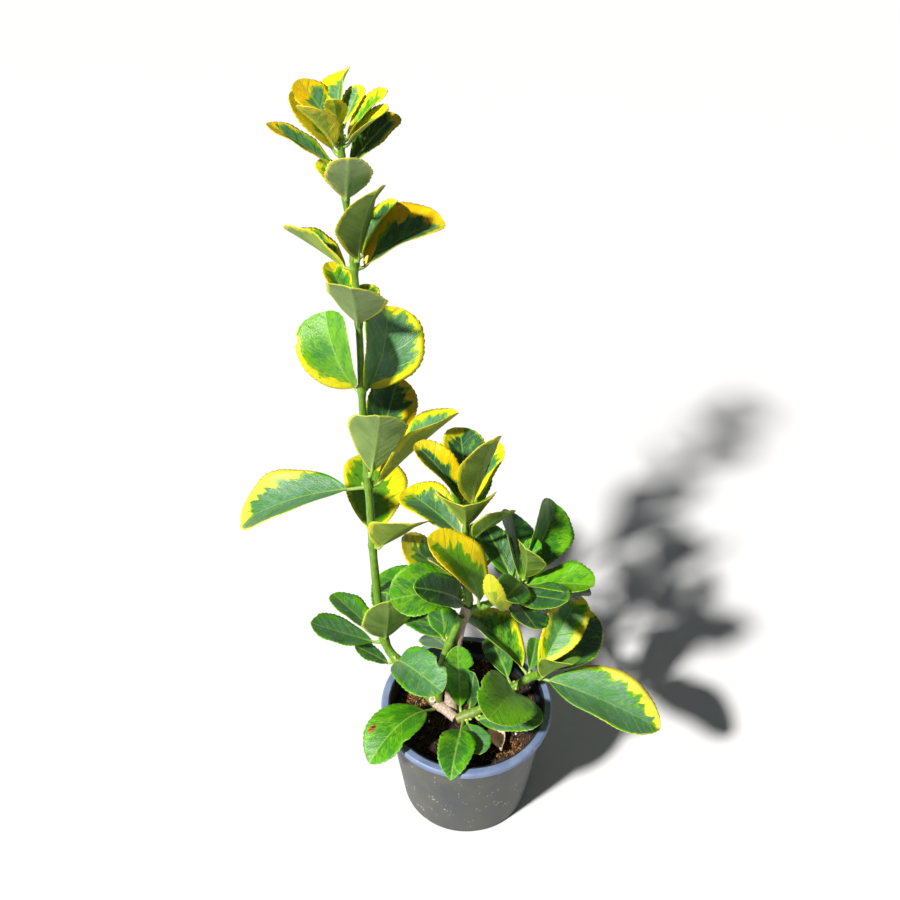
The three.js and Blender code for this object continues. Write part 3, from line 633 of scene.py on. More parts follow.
MASSES = {
    "leader_crown": ("leader_stem", "tip", [
        leaf(297, 42, 29, 30, 19, fold=15, gold=0.16, lean=0.5, tip=0.9, blue=0.1, deep=1.0, warm=0.8),
        leaf(297, 162, 27, 33, 18, fold=15, curl=5, roll=12,
             gold=0.42, lean=-0.6, tip=0.5, blue=0.6, deep=0.6, warm=0.7),
        leaf(303, 158, 51, 29, 18, fold=5, curl=6, gold=0.7, tip=0.2, blue=0.0, lime=0.9, warm=0.35),
        leaf(307, 231, 53, 27, 17, fold=15, roll=10, stalk=2.5,
             gold=0.42, blue=0.0, deep=0.4, lime=0.9, warm=0.3),
        leaf(307, 339, 43, 26, 15, roll=10, stalk=2.5, gold=0.5, lean=-0.4, tip=0.5, blue=0.2, lime=0.6),
        leaf(309, 10, 47, 26, 16, fold=20, curl=18, stalk=2, gold=0.5, blue=0.2, lime=0.6),
        leaf(313, 140, 39, 23, 18, fold=5, curl=5, stalk=4, gold=0.62, lean=-0.4, blue=0.9, warm=0.8),
        leaf(314, 87, 32, 27, 17, fold=35, curl=35, roll=-35, stalk=2,
             gold=0.36, lean=-0.3, tip=0.3, blue=0.9),
        leaf(314, 56, 45, 18, 11, curl=5, roll=-5, stalk=2, gold=0.35, lean=0.5, blue=0.9),
        leaf(314, 267, 65, 17, 10, fold=12, curl=8, stalk=1.5, gold=0.6, lime=0.6),
    ]),
    "leader_tier_7": ("leader_stem", "sleeve", [
        leaf(284, 283, 58, 31, 20, fold=6, curl=-6, roll=-8, stalk=2.5, gold=0.10, lean=0.8, blue=1.0),
        leaf(285, 129, 37, 17, 11, stalk=2, gold=0.5, lime=0.9),
        leaf(284, 98, 22, 18, 12, stalk=1.5, gold=0.4),
    ]),
    "leader_tier_6": ("leader_stem", "sleeve", [
        leaf(252, 152, 20, 34, 22, fold=34, curl=8, roll=32, stalk=1.5, gold=0.22, tip=-0.3, blue=0.6),
        leaf(252, 18, 24, 41, 30, fold=32, curl=34, roll=8, stalk=1.5,
             gold=0.24, lean=-0.5, tip=0.3, blue=0.8, deep=0.9, warm=1.0),
        leaf(256, 314, 69, 42, 27, curl=30, roll=8, stalk=1.5, gold=0.10),
        leaf(256, 34, 48, 29, 18, fold=26, curl=20, roll=-20, stalk=2, gold=0.22, deep=0.9),
    ]),
    "leader_tier_5": ("leader_stem", "sleeve", [
        leaf(226, 271, 55, 41, 28, fold=14, curl=9, roll=-14, gold=0.09, blue=0.85),
        leaf(227, 129, 47, 27, 16, fold=22, curl=16, roll=10, stalk=2, gold=0.4, lime=0.8),
        leaf(226, 80, 20, 20, 13, stalk=1.5, gold=0.2, deep=0.7),
    ]),
    "leader_tier_4": ("leader_stem", "sleeve", [
        leaf(191, 135, 63, 39, 34, fold=33, curl=60, roll=-65, stalk=2,
             gold=0.09, lean=-0.8, tip=-1.2, blue=0.6, deep=0.0, lime=1.0,
             specks=0.5, bite=(-1, 0.75, 1.6, 1.2)),
        leaf(191, 54, 66, 41, 38, fold=35, curl=60, roll=65, stalk=1.5,
             gold=0.12, lean=0.7, tip=-0.1, blue=0.9, deep=0.3),
    ]),
    "leader_tier_3": ("leader_stem", "sleeve", [
        leaf(139, 187, -17, 57, 36, fold=24, curl=34, stalk=6.5,
             gold=0.13, lean=0.7, tip=1.6, blue=1.0, deep=0.3, lime=0.1),
        leaf(139, 20, 38, 54, 31, fold=38, curl=9, roll=-30, stalk=1.5, gold=0.2, tip=0.2, blue=0.9),
        leaf(146, 302, 75, 44, 29, curl=26, roll=-34, stalk=4, blue=0.7, bite=(1, 0.93, 2.5, 3.0)),
        leaf(146, 74, 28, 49, 28, fold=21, curl=15, roll=30, stalk=4,
             gold=0.18, lean=0.8, blue=0.3, deep=1.0, warm=0.8),
    ]),
    "leader_tier_2": ("leader_stem", "sleeve", [
        leaf(104, 316, 53, 42, 30, curl=9, roll=-30, stalk=1.5, gold=0.16),
        leaf(104, 92, 8, 55, 35, fold=10, curl=8, roll=12, stalk=5,
             gold=0.28, lean=0.5, tip=0.8, blue=0.2, deep=0.8, lime=1.4),
    ]),
    "leader_tier_1": ("leader_stem", "sleeve", [
        leaf(45, 137, 10, 35, 20, fold=15, curl=2, roll=20, stalk=2, blue=0.5, lime=0.3),
        leaf(43, 183, 28, 36, 21, fold=8, curl=-5, roll=4, blue=0.7, lime=0.1,
             bite=(1, 0.97, 2.5, 1.2)),
        leaf(47, 287, 74, 43, 27, fold=5, curl=-15, stalk=1.5),
        leaf(47, 88, 12, 32, 19, deep=0.8),
    ]),
    "rim_pair": ("leader_stem", "sleeve", [
        leaf(30, 306, 21, 43, 26, fold=30, curl=50, roll=22, stalk=2.5, blue=0.8, lime=0.3,
             bite=(-1, 0.78, 2.2, 2.6)),
        leaf(31, 173, 33, 21, 12, fold=8, curl=5, roll=4, stalk=1.5, deep=0.8),
    ]),
    "foot_leaf": ("old_wood", "alone", [
        leaf(5, 228, -4, 41, 26, fold=16, curl=80, roll=4, stalk=9, point=0.7,
             blue=0.0, deep=0.1, lime=0.3, rust=(9, 28, 3.4), bite=(-1, 0.6, 1.6, 1.2)),
    ]),
    "front_foliage": ("low_bough", "sleeve", [
        leaf(3, 260, 2, 31, 19, curl=58, stalk=9, point=0.85,
             blue=0.1, deep=0.4, lime=0.3, specks=0.8, rust=(-7.5, 15, 1.6)),
        leaf(5, 284, 16, 25, 16, roll=-4, stalk=1.5, blue=0.9, deep=0.0),
        leaf(3, 100, 74, 38, 17, fold=12, curl=10, blue=0.1, lime=0.7, bite=(1, 0.62, 2.5, 3.2)),
        leaf(7, 45, 83, 25, 15, fold=10, curl=0, roll=-10, stalk=3.5, deep=0.9),
        leaf(10, 332, 31, 41, 21, fold=16, curl=25, roll=9, stalk=1.5, blue=0.9),
    ]),
    "low_pair": ("low_bough", "sleeve", [
        leaf(34, 247, 32, 45, 33, fold=22, curl=46, roll=-24, blue=0.1, deep=0.3, lime=1.05,
             specks=0.6, bite=(1, 0.80, 2.0, 1.4)),
        leaf(34, 108, 2, 28, 16, deep=0.8),
    ]),
    "low_foliage": ("low_bough", "tip", [
        leaf(44, 134, 10, 44, 31, fold=26, curl=35, roll=20, stalk=4, gold=0.12, lean=0.9, tip=0.5,
             blue=0.1, deep=0.7, lime=1.0),
        leaf(50, 50, 46, 41, 24, fold=28, curl=8, roll=30, stalk=5,
             gold=0.26, tip=0.1, blue=0.8, deep=0.0, lime=0.5),
        leaf(48, 50, 2, 50, 33, fold=6, curl=4, roll=24, stalk=2.5,
             gold=0.12, lean=-0.8, tip=0.8, deep=1.0),
        leaf(50, 317, 55, 31, 22, fold=28, curl=15, roll=-31, stalk=3.5),
        leaf(51, 334, -5, 61, 36, fold=22, curl=22, stalk=4.5, point=0.7,
             gold=0.10, lean=-0.8, tip=1.3, blue=1.0, deep=0.0, lime=0.2),
        leaf(44, 77, 7, 20, 11, fold=24, curl=16, roll=20),
    ]),
    "trunk_leaf": ("trunk", "alone", [
        leaf(40.4, 117, -30, 32, 19, fold=8, curl=5, stalk=1.5, blue=0.6, deep=0.7),
    ]),
    "knuckle_leaf": ("right_bough", "alone", [
        leaf(8.8, 189, 63, 56, 26, fold=30, curl=54, roll=-32, stalk=3.8, gold=0.30, lean=0.4, tip=1.0,
             blue=0.0, deep=0.4, lime=1.5, warm=0.45),
    ]),
    "green_foliage": ("green_bough", "sleeve", [
        leaf(40, 125, 5, 32, 26, fold=8, curl=5, stalk=1.5, deep=0.9, lime=0.3),
        leaf(39.5, 100, 19, 18, 17, fold=8, curl=0, roll=8, stalk=1.5, deep=0.4),
    ]),
    "middle_foliage": ("crown_bough", "sleeve", [
        leaf(5, 185, 61, 31, 15, curl=14, roll=30, stalk=2, gold=0.12, deep=0.6),
        leaf(12, 157, 35, 37, 25, fold=4, curl=-12, roll=9, stalk=1.5,
             gold=0.34, tip=0.8, deep=0.8, lime=0.4),
        leaf(5, 149, -14, 49, 30, fold=5, curl=-8, roll=8, stalk=4.5, blue=0.1, deep=0.0, lime=0.4),
        leaf(8.4, 204, 17, 37, 30, fold=30, curl=49, roll=-22, stalk=3.6, blue=0.3, deep=0.3, lime=0.8),
        leaf(3.2, 219, 46, 43, 19, fold=30, curl=45, roll=-45, blue=0.1, deep=1.0, lime=0.0),
        leaf(11, 74, 6, 38, 24, gold=0.1, deep=0.8),
    ]),
    "centre_crown": ("crown_bough", "tip", [
        leaf(61, 162, 53, 39, 19, fold=40, curl=39, roll=-15, stalk=1.8,
             gold=0.3, lean=0.5, tip=0.3, deep=1.0, warm=0.7),
        leaf(60, 346, 77, 44, 26, curl=14, roll=-32, gold=0.16),
        leaf(58, 63, 32, 35, 21, fold=22, curl=8, roll=-16, stalk=2.5, gold=0.36, lean=0.3, blue=0.8),
        leaf(61.8, 96, 32, 36, 25, fold=23, curl=16, roll=15, gold=0.2, lean=-0.7, deep=1.0),
        leaf(48, 266, 57, 42, 31, fold=28, curl=44, stalk=4, cup=0.6, gold=0.14),
        leaf(43, 141, 14, 37, 26, fold=22, curl=26, stalk=1.5,
             gold=0.24, lean=0.4, tip=1.0, blue=0.7, deep=0.8, warm=0.4),
        leaf(42, 337, 54, 31, 19, fold=12, curl=6, roll=-40),
        leaf(48, 85, 15, 38, 23, deep=0.4, lime=0.6),
    ]),
    "right_crown": ("right_bough", "tip", [
        leaf(40, 66, 14, 44, 28, fold=32, curl=18, roll=45, stalk=2.5, cup=0.6,
             blue=0.0, lime=0.5, deep=0.3),
        leaf(38, 95, 13, 39, 24, fold=20, roll=40, stalk=1.5, blue=0.1, deep=0.7),
        leaf(43, 261, 72, 31, 19, fold=24, curl=18, roll=-36, stalk=1.5),
        leaf(43, 72, 27, 16, 10, stalk=2.5, deep=0.0, lime=0.6),
        leaf(38, 329, 28, 38, 23, fold=24, curl=15, stalk=3.5, blue=0.1, deep=0.0, lime=1.0),
        leaf(34, 8, -12, 33, 20, roll=-10, stalk=4.5, deep=0.8),
        leaf(30.5, 307, 37, 45, 18, fold=8, curl=10, roll=16, stalk=1.5, blue=0.3, deep=0.9),
        leaf(35, 233, 58, 39, 12, fold=35, curl=-117, roll=26, stalk=6, gold=0.6, deep=0.0, lime=1.8),
        leaf(35, 94, -9, 28, 19, fold=5, curl=32, roll=-50, stalk=2, blue=0.1, deep=0.6, lime=0.5),
        leaf(34, 120, 30, 28, 17, blue=0.1, deep=0.8),
        leaf(39.9, 248, 27, 27, 18, fold=14, curl=30, roll=-22, stalk=1.7, blue=0.2, deep=0.8),
        leaf(30, 293, 8, 24, 21, fold=8, curl=0, roll=-24, stalk=3.6, blue=0.1, deep=1.0),
        leaf(31, 20, -20, 34, 24, deep=0.8),
    ]),
}
print("leaves:", sum(len(rows) for _, _, rows in MASSES.values()))

# %% [markdown]
# One flat blade serves as the pattern of all leaves: a grid for the upper face, a turned-over copy
# for the lower one and a bridge round their rims, so that it is a closed thin slab. Its X runs
# across the leaf from -1 to 1, its Y from base to tip, and its Z tells upper from lower. A leaf is
# then this slab bent to its own row, which is quick, and every leaf has the same clean faces.

# %% Blade pattern
BLADE_ACROSS = 16
BLADE_ALONG = 72
RIB_CROWDING = 1.15
END_CROWDING = 0.5

bm = bmesh.new()
bmesh.ops.create_grid(bm, x_segments=BLADE_ACROSS, y_segments=BLADE_ALONG, size=1)
upper = bm.verts[:] + bm.edges[:] + bm.faces[:]
copied = bmesh.ops.duplicate(bm, geom=upper)["geom"]
lower_verts = [item for item in copied if isinstance(item, bmesh.types.BMVert)]
lower_faces = [item for item in copied if isinstance(item, bmesh.types.BMFace)]
bmesh.ops.translate(bm, verts=lower_verts, vec=(0, 0, -1))
bmesh.ops.reverse_faces(bm, faces=lower_faces)
bmesh.ops.bridge_loops(bm, edges=[edge for edge in bm.edges if edge.is_boundary])
open_edges = sum(edge.is_boundary for edge in bm.edges)
pattern = from_bmesh("blade_pattern", bm)
grid = np.zeros(len(pattern.vertices) * 3)
pattern.vertices.foreach_get("co", grid)
grid = grid.reshape(-1, 3)
ACROSS = np.sign(grid[:, 0]) * np.abs(grid[:, 0]) ** RIB_CROWDING
EVEN = (grid[:, 1] + 1) / 2
ALONG = EVEN - END_CROWDING * np.sin(2 * np.pi * EVEN) / (2 * np.pi)
LOWER = (grid[:, 2] < -0.5).astype(float)
print("blade pattern:", len(pattern.vertices), "points,", open_edges, "open edges")

# %% [markdown]
# A spindle leaf is leathery, folded a little along its midrib and arched from base to tip. Its
# margin has small blunt teeth, its midrib is sunk above and stands out below, and the blade is
# gently quilted between the side veins. Each of these is a term added to the pattern's points.
# Attributes go with the points: the place on the blade in millimetres, which face it is, and the
# dress, so that the material can draw the variegation along the veins of each leaf. Sizes are in
# millimetres, places along and across the blade are shares of its length and half width, and the
# few bare numbers are plain shares and powers.

# %% Bending a blade
LEAF_ATTRIBUTES = ("blade", "dress", "tissue", "wear", "rust")
SLEEVE_OUT = 1.2
STALK_OUT = 0.6
STALK_IN = 0.8
STALK_RADIUS = 0.9
STALK_FOOT = 0.8
STALK_LEAD = 0.6
STALK_ON_BLADE = (0.0, 0.1, 0.22, 0.36)
STALK_UNDER = 0.35
STALK_STEPS = 4
STALK_THICKEST = 1.25
STALK_TAPER = 1.05
NARROWEST = 0.5
WIDEST_AT = 0.6
BASE_POWER = 0.85
BLADE_THICK = 0.42
VEIN_GAP = 4.6
VEIN_SLANT = 0.85
TOOTH_GAP = 2.3
TOOTH_HEIGHT = 0.66
TEETH_FROM = 0.22
TEETH_FADE_IN = 0.12
TEETH_FADE_OUT = 0.05
WAVER = 0.03
WAVES = 1.7
EDGE_POWER = 6
UNFOLD_FROM = 0.55
UNFOLD_SPAN = 0.45
UNFOLD = 0.5
RIPPLE = (0.25, 0.6)
RIPPLE_WAVES = (1.6, 2.6)
RIPPLE_SKEW = 1.4
RIPPLE_FULL_AT = 12
QUILT_HEIGHT = 0.13
QUILT_FROM = 3
QUILT_SPAN = 5
RIB_WIDTH = 0.75
RIB_SUNK = 0.22
RIB_PROUD = 0.5
RIB_FADE = 0.6
TIP_MARGIN = 0.8
EDGE_THINNING = 0.45
FLAT = 0.001


def heading(turn, rise):
    """A unit vector from two angles in radians."""
    return np.array([math.cos(rise) * math.cos(turn), math.cos(rise) * math.sin(turn), math.sin(rise)])


def spin_about(vector, axis, angle):
    """A vector turned about a unit axis that it is square to."""
    return vector * math.cos(angle) + np.cross(axis, vector) * math.sin(angle)


def leaf_axes(row, limb_name, kind):
    """Where a leaf starts and the three directions it is built along."""
    turn, rise, roll, bend = (math.radians(row[k]) for k in ("turn", "rise", "roll", "curl"))
    bend /= 2
    place, axis = ROUTES[limb_name].at(row["at"])
    chord = heading(turn, rise)
    face = spin_about(heading(turn, rise + math.pi / 2), chord, roll)
    out = np.array([math.cos(turn), math.sin(turn), 0.0])
    out -= axis * (out @ axis)
    out /= np.linalg.norm(out)
    radius = limb_radius(limb_name, row["at"])
    away = chord * math.cos(bend) + face * math.sin(bend)
    clear = radius + (SLEEVE_OUT if kind == "sleeve" else 0) + STALK_OUT
    return dict(place=place, axis=axis, out=out, radius=radius, away=away, chord=chord, face=face,
                across=np.cross(chord, face), bend=bend, root=place + out * clear + away * row["stalk"])


def arch(long, bend, along):
    """How far along its chord and above it a blade has got, at a share of its length."""
    if abs(bend) < FLAT:
        return long * along, 0 * along, 0 * along
    angle = bend * (1 - 2 * along)
    reach = long / (2 * math.sin(bend))
    return reach * (math.sin(bend) - np.sin(angle)), reach * (np.cos(angle) - math.cos(bend)), angle


def half_width(row, along):
    """Half the width of a blade at a share of its length."""
    share = np.clip(along, 0, 1)
    shape = (share / WIDEST_AT) ** BASE_POWER * ((1 - share) / (1 - WIDEST_AT)) ** row["point"]
    return np.maximum(row["wide"] / 2 * shape, NARROWEST)


def bent_blade(row, axes, chance):
    """The pattern's points bent to one leaf, in mm, with the attributes that dress them."""
    long, wide = row["long"], row["wide"]
    side = np.sign(ACROSS)
    out = np.abs(ACROSS)
    x, y, angle = arch(long, axes["bend"], ALONG)
    up = np.cos(angle)[:, None] * axes["face"] - np.sin(angle)[:, None] * axes["chord"]
    half = half_width(row, ALONG)

    tooth = (ALONG * long / TOOTH_GAP + chance.random()) % 1
    toothed = np.clip((ALONG - TEETH_FROM) / TEETH_FADE_IN, 0, 1)
    toothed = toothed * np.clip((1 - ALONG) / TEETH_FADE_OUT, 0, 1)
    half = half + TOOTH_HEIGHT * (tooth - 0.5) * toothed * out ** EDGE_POWER
    wobble = chance.uniform(0, 2 * math.pi)
    half = half * (1 + WAVER * np.sin(2 * np.pi * ALONG * WAVES + wobble + side))
    if row["bite"]:
        bitten_side, spot, span, deep = row["bite"]
        near = np.exp(-((ALONG - spot) * long / span) ** 4)
        half = half - deep * near * (side == bitten_side)
        half = np.maximum(half, NARROWEST)

    fade = np.clip((ALONG - UNFOLD_FROM) / UNFOLD_SPAN, 0, 1)
    fold = math.radians(row["fold"]) * (1 - UNFOLD * fade ** 2 * (3 - 2 * fade))
    cup = row["cup"]
    valley = (np.sqrt(out ** 2 + cup ** 2) - cup) / (math.sqrt(1 + cup ** 2) - cup)
    reach = ACROSS * half
    height = chance.uniform(*RIPPLE)
    waves = ALONG * chance.uniform(*RIPPLE_WAVES) + chance.random()
    ripple = height * np.sin(2 * np.pi * waves + RIPPLE_SKEW * side)
    rise = half * valley * np.sin(fold) + ripple * out ** 2 * (half / RIPPLE_FULL_AT)

    vein = (ALONG * long - VEIN_SLANT * np.abs(reach)) / VEIN_GAP
    quilt = QUILT_HEIGHT * np.cos(2 * np.pi * vein) * np.clip(4 * out * (1 - out), 0, 1)
    quilt = quilt * np.clip((half - QUILT_FROM) / QUILT_SPAN, 0, 1)
    rib = np.exp(-(reach / RIB_WIDTH) ** 2) * (1 - RIB_FADE * ALONG)
    thick = BLADE_THICK * (1 - EDGE_THINNING * out ** EDGE_POWER)
    lift = rise + quilt - RIB_SUNK * rib - LOWER * (thick + RIB_PROUD * rib) + thick / 2

    points = (axes["root"] + x[:, None] * axes["chord"] + y[:, None] * axes["face"]
              + (reach * np.cos(fold))[:, None] * axes["across"] + lift[:, None] * up)
    margin = np.minimum(half - np.abs(reach), (1 - ALONG) * long * TIP_MARGIN)
    blade = np.stack([reach, ALONG * long, margin], 1)
    gold = row["gold"] * wide / 2 * (1 + row["lean"] * side * np.clip(out * 3, 0, 1))
    gold = gold * np.maximum(1 + row["tip"] * (2 * ALONG - 1), 0)
    even = np.ones_like(gold)
    dress = np.stack([gold, row["lime"] * even, chance.uniform(0, 40) * even], 1)
    tissue = np.outer(even, [row["blue"], row["deep"], row["warm"]])
    wear = np.stack([LOWER, row["specks"] * even, 0 * even], 1)
    rust = np.outer(even, row["rust"])
    return points, dict(zip(LEAF_ATTRIBUTES, (blade, dress, tissue, wear, rust)))


def stalk_line(row, axes):
    """A leaf's stalk from inside the limb into its midrib, as points with radii."""
    place, out, radius = axes["place"], axes["out"], axes["radius"]
    x, y, _ = arch(row["long"], axes["bend"], np.array(STALK_ON_BLADE))
    rib = [axes["root"] + a * axes["chord"] + b * axes["face"] - STALK_UNDER * axes["face"]
           for a, b in zip(x, y)]
    inner = place + out * (radius - STALK_IN)
    outer = place + out * (radius + STALK_FOOT) + STALK_LEAD * axes["away"]
    line = Route([inner, outer, *rib], STALK_STEPS).line
    slim = 0.75 + 0.006 * row["long"]
    radii = [STALK_RADIUS * slim * (STALK_THICKEST - STALK_TAPER * k / (len(line) - 1))
             for k in range(len(line))]
    return list(zip(line, radii))


print("a leaf is bent from", len(ALONG), "points")

# %% [markdown]
# Evergreen spindle leaf, a waxed cuticle over green tissue. The gold margin lacks chlorophyll, so
# its border against the green runs in jagged steps along the side veins. On some leaves the middle
# is painted grey-blue, a painted sky reflection on the gloss. The underside is paler and matt. All
# widths are in real millimetres, read from the blade attribute.

# %% Leaf material
leaf_skin, tree = new_material("waxed_spindle_leaf")
blade, dress, tissue, wear, rust = (
    add(tree, "ShaderNodeAttribute", out="Vector", attribute_name=title) for title in LEAF_ATTRIBUTES)
side, along, margin = (part(blade, axis) for axis in "XYZ")
gold, lime, seed = (part(dress, axis) for axis in "XYZ")
blue, deep, warm = (part(tissue, axis) for axis in "XYZ")
under, specks = (part(wear, axis) for axis in "XY")
rust_radius = part(rust, "Z")

# Noise is read along the side veins, with one scale along them, one across and one for the seed.
off_rib = maths("ABSOLUTE", side)
vein = maths("MULTIPLY_ADD", off_rib, -VEIN_SLANT, along)
on_vein = add(tree, "ShaderNodeCombineXYZ", {0: vein, 1: side, 2: seed})
lobes = cloudy(scaled(on_vein, (0.17, 0.09, 1.0)), 1.0, 2.5, 0.55)
patch = cloudy(scaled(on_vein, (0.13, 0.08, 1.7)), 1.0, 1.6)
clouds = cloudy(scaled(on_vein, (0.16, 0.13, 2.3)), 1.0, 3.0)
mottle = cloudy(scaled(on_vein, (0.9, 0.6, 1.0)), 1.0, 4.0)

# The margin is gold where it is nearer the edge than a wandering width, with lime beside it.
gold_width = maths("MULTIPLY", gold, ramp(lobes, 0.32, 0.68, 0.35, 1.65))
gold_depth = maths("SUBTRACT", gold_width, margin)
gold_mask = ramp(gold_depth, -0.12, 0.18)
lime_depth = maths("MULTIPLY_ADD", mottle, 4.0, gold_depth)
lime_edge = maths("MULTIPLY", ramp(lime_depth, 0.3, 1.6, 0.0, 0.85), ramp(gold, 0.6, 1.6))
# Lime patches are partly fresh green and partly painted patches of sun, more on leaves with more lime.
lime_level = maths("MULTIPLY_ADD", lime, 0.26, clouds)
lime_level = maths("MULTIPLY_ADD", mottle, 0.45, lime_level)
lime_patch = ramp(lime_level, 0.84, 1.0, 0.0, 0.8)

# Inside the gold comes a fresh green band of a wandering width, and inside that a darker middle
# that runs out along the side veins. A painted sky reflection greys and blues the middle of some leaves.
band = maths("MULTIPLY", ramp(patch, 0.38, 0.62, 0.0, 7.0), ramp(deep, 0.0, 1.0, 1.0, 0.3))
band = maths("MULTIPLY", band, ramp(blue, 0.0, 1.0, 1.0, 0.3))
core_depth = maths("SUBTRACT", margin, maths("ADD", gold_width, band))
# The grey-blue middle is a painted sky reflection on the gloss, scaled by each leaf's blue.
bloom = maths("MULTIPLY", ramp(clouds, 0.42, 0.50, 0.5, 1.0), blue)
# Deep darkens the green: partly a leaf's own older green, partly painted shade.
dim = maths("MULTIPLY", deep, 0.65)
fresh = mixed(dim, mixed(mottle, "#459606", "#5caa0e"), mixed(mottle, "#1f5c10", "#307616"))
core = mixed(deep, mixed(mottle, "#377f0e", "#489214"), mixed(mottle, "#103a1a", "#1d5424"))
core = mixed(bloom, core, mixed(mottle, "#4a7a56", "#6b9a70"))
middle = mixed(ramp(core_depth, -0.3, 0.4), fresh, core)
middle = mixed(lime_patch, middle, mixed(mottle, "#4f9a0c", "#7fb818"))
middle = mixed(lime_edge, middle, mixed(mottle, "#7aac08", "#a8c816"))
# Leaves given warm get a brighter orange gold: a painted backlight glow.
warmth = maths("MULTIPLY", ramp(clouds, 0.35, 0.6, 0.45, 1.0), warm)
golden = mixed(ramp(clouds, 0.30, 0.48), "#d8c00c", "#e4de18")
golden = mixed(warmth, golden, "#f4bf02")
# On the bluest leaves the gold is paled too: a painted sky reflection.
golden = mixed(ramp(blue, 0.92, 1.0, 0.0, 0.4), golden, "#e6dc6c")
top = mixed(gold_mask, middle, golden)

# The lower face is matt olive, greyer on the leaves with the most blue, and yellower under gold-rich
# blades.
under_edge = ramp(margin, 0.5, 1.1, 0.8, 0.0)
under_gold = maths("MAXIMUM", maths("MULTIPLY", gold_mask, 0.6), under_edge)
lower = mixed(ramp(patch, 0.3, 0.7), "#56791f", "#7f9c42")
lower = mixed(ramp(blue, 0.5, 1.0, 0.0, 0.8), lower, mixed(patch, "#7d9460", "#a2b484"))
lower = mixed(ramp(gold, 1.5, 4.0, 0.0, 0.85), lower, mixed(clouds, "#8fae10", "#b4bc1c"))
colour = mixed(under, top, mixed(under_gold, lower, golden))

# Veins: a pale midrib that thins to the tip, faint side veins, and a pale hard edge.
rib_depth = maths("SUBTRACT", ramp(along, 0.0, 60.0, 0.6, 0.1), off_rib)
rib_mask = ramp(rib_depth, -0.2, 0.2, 0.0, 0.6)
vein_wave = maths("PINGPONG", maths("MULTIPLY_ADD", lobes, 3.0, vein), VEIN_GAP)
vein_mask = ramp(vein_wave, 0.0, 0.38, 0.24, 0.0)
edge_mask = ramp(margin, 0.12, 0.45, 0.5, 0.0)
colour = mixed(vein_mask, colour, "#9fc46a")
colour = mixed(rib_mask, colour, "#93bb4e")
colour = mixed(edge_mask, colour, mixed(ramp(gold, 0.8, 1.8), "#86b048", "#d4c634"))

# Dead specks and one larger rusty patch, on the few leaves that have them.
cells = add(tree, "ShaderNodeTexVoronoi", {"Vector": on_vein, "Scale": 0.3, "Randomness": 1.0})
chosen = part(cells.node.outputs["Color"], "X")
speck_size = maths("MULTIPLY", ramp(chosen, 0.55, 0.75, 0.0, 0.22), specks)
speck_depth = maths("SUBTRACT", speck_size, cells)
colour = mixed(ramp(speck_depth, -0.03, 0.03, 0.0, 0.85), colour, "#4a3210")
from_rust = add(tree, "ShaderNodeVectorMath", {0: blade, 1: rust}, operation="SUBTRACT")
from_rust = reach_of(scaled(from_rust, (1.3, 0.8, 0.0)))
rust_depth = maths("SUBTRACT", rust_radius, maths("MULTIPLY_ADD", mottle, 2.4, from_rust))
colour = mixed(ramp(rust_depth, 0.0, 0.5), colour, mixed(ramp(mottle, 0.35, 0.6), "#4a2208", "#b06c28"))

# Light and dark mottling a millimetre or two across, too small to be a pattern of its own.
shade = ramp(mottle, 0.3, 0.7, 0.81, 0.97)
colour = add(tree, "ShaderNodeVectorMath", {0: colour, "Scale": shade}, operation="SCALE")
roughness = ramp(under, 0.0, 1.0, ramp(mottle, 0.3, 0.7, 0.27, 0.42), 0.66)
height = maths("MULTIPLY_ADD", vein_mask, -2.0, cloudy(on_vein, 1.3, 4.0, 0.6))
surface(tree, colour, roughness, height, 0.24, IOR=1.45)
print("leaf material:", len(tree.nodes), "nodes")

# %% [markdown]
# The young stems are green and smooth, faintly streaked along their length, and go corky brown
# towards the compost. Their material reads heights in the plant's own space, so a stem browns where
# it nears the ground. Stalks are the same tissue, paler.

# %% Stem and bark materials
def stem_material(name, fresh_code, streak_code, cork_code, cork_low, cork_high):
    """Smooth green stem with fine lengthwise streaks, corky below a height in mm."""
    material, tree = new_material(name)
    place = plant_space(tree)
    streak = cloudy(scaled(place, (1400, 1400, 160)), 1.0, 3.0)
    colour = mixed(ramp(streak, 0.35, 0.7), fresh_code, streak_code)
    cork = ramp(part(place, "Z"), cork_high * MM, cork_low * MM, 0.0, 0.9)
    cork = maths("MULTIPLY_ADD", cork, cloudy(place, 260.0, 4.0), cork)
    colour = mixed(ramp(cork, 0.3, 1.2), colour, cork_code)
    surface(tree, colour, 0.48, streak, 0.12)
    return material


green_stem = stem_material("smooth_green_stem", "#517b16", "#769c30", "#85794f", 58, 74)
leaf_stalk = stem_material("pale_leaf_stalk", "#789c34", "#9ab85c", "#9db266", 40, 50)
bud_scale = stem_material("bud_scale", "#9db540", "#c6c868", "#b9c85a", 40, 50)

grey_bark, tree = new_material("corky_spindle_bark")
along_wood = scaled(plant_space(tree), (900, 900, 240))
ridges = cloudy(along_wood, 1.0, 6.0, 0.7)
cracks = add(tree, "ShaderNodeTexVoronoi", {"Vector": along_wood, "Scale": 0.7}, feature="DISTANCE_TO_EDGE")
crack = ramp(cracks, 0.0, 0.12, 0.6, 1.0)
bark = mixed(crack, "#5c4433", mixed(ridges, "#98806f", "#dccabc"))
surface(tree, bark, 0.82, maths("ADD", crack, ridges), 0.35)

cut_wood, tree = new_material("pruned_end_grain")
to_pith = [-v * MM for v in LIMBS["cut_stub"]["route"][-1]]
from_pith = add(tree, "ShaderNodeMapping", {"Vector": plant_space(tree), "Location": to_pith})
rings = add(tree, "ShaderNodeTexWave", {"Vector": from_pith, "Scale": 220.0, "Distortion": 1.0},
            wave_type="RINGS", rings_direction="SPHERICAL")
surface(tree, mixed(rings, "#d9cfb4", "#8f8064"), 0.8, rings, 0.1)
print("stem, bark and end grain are made")

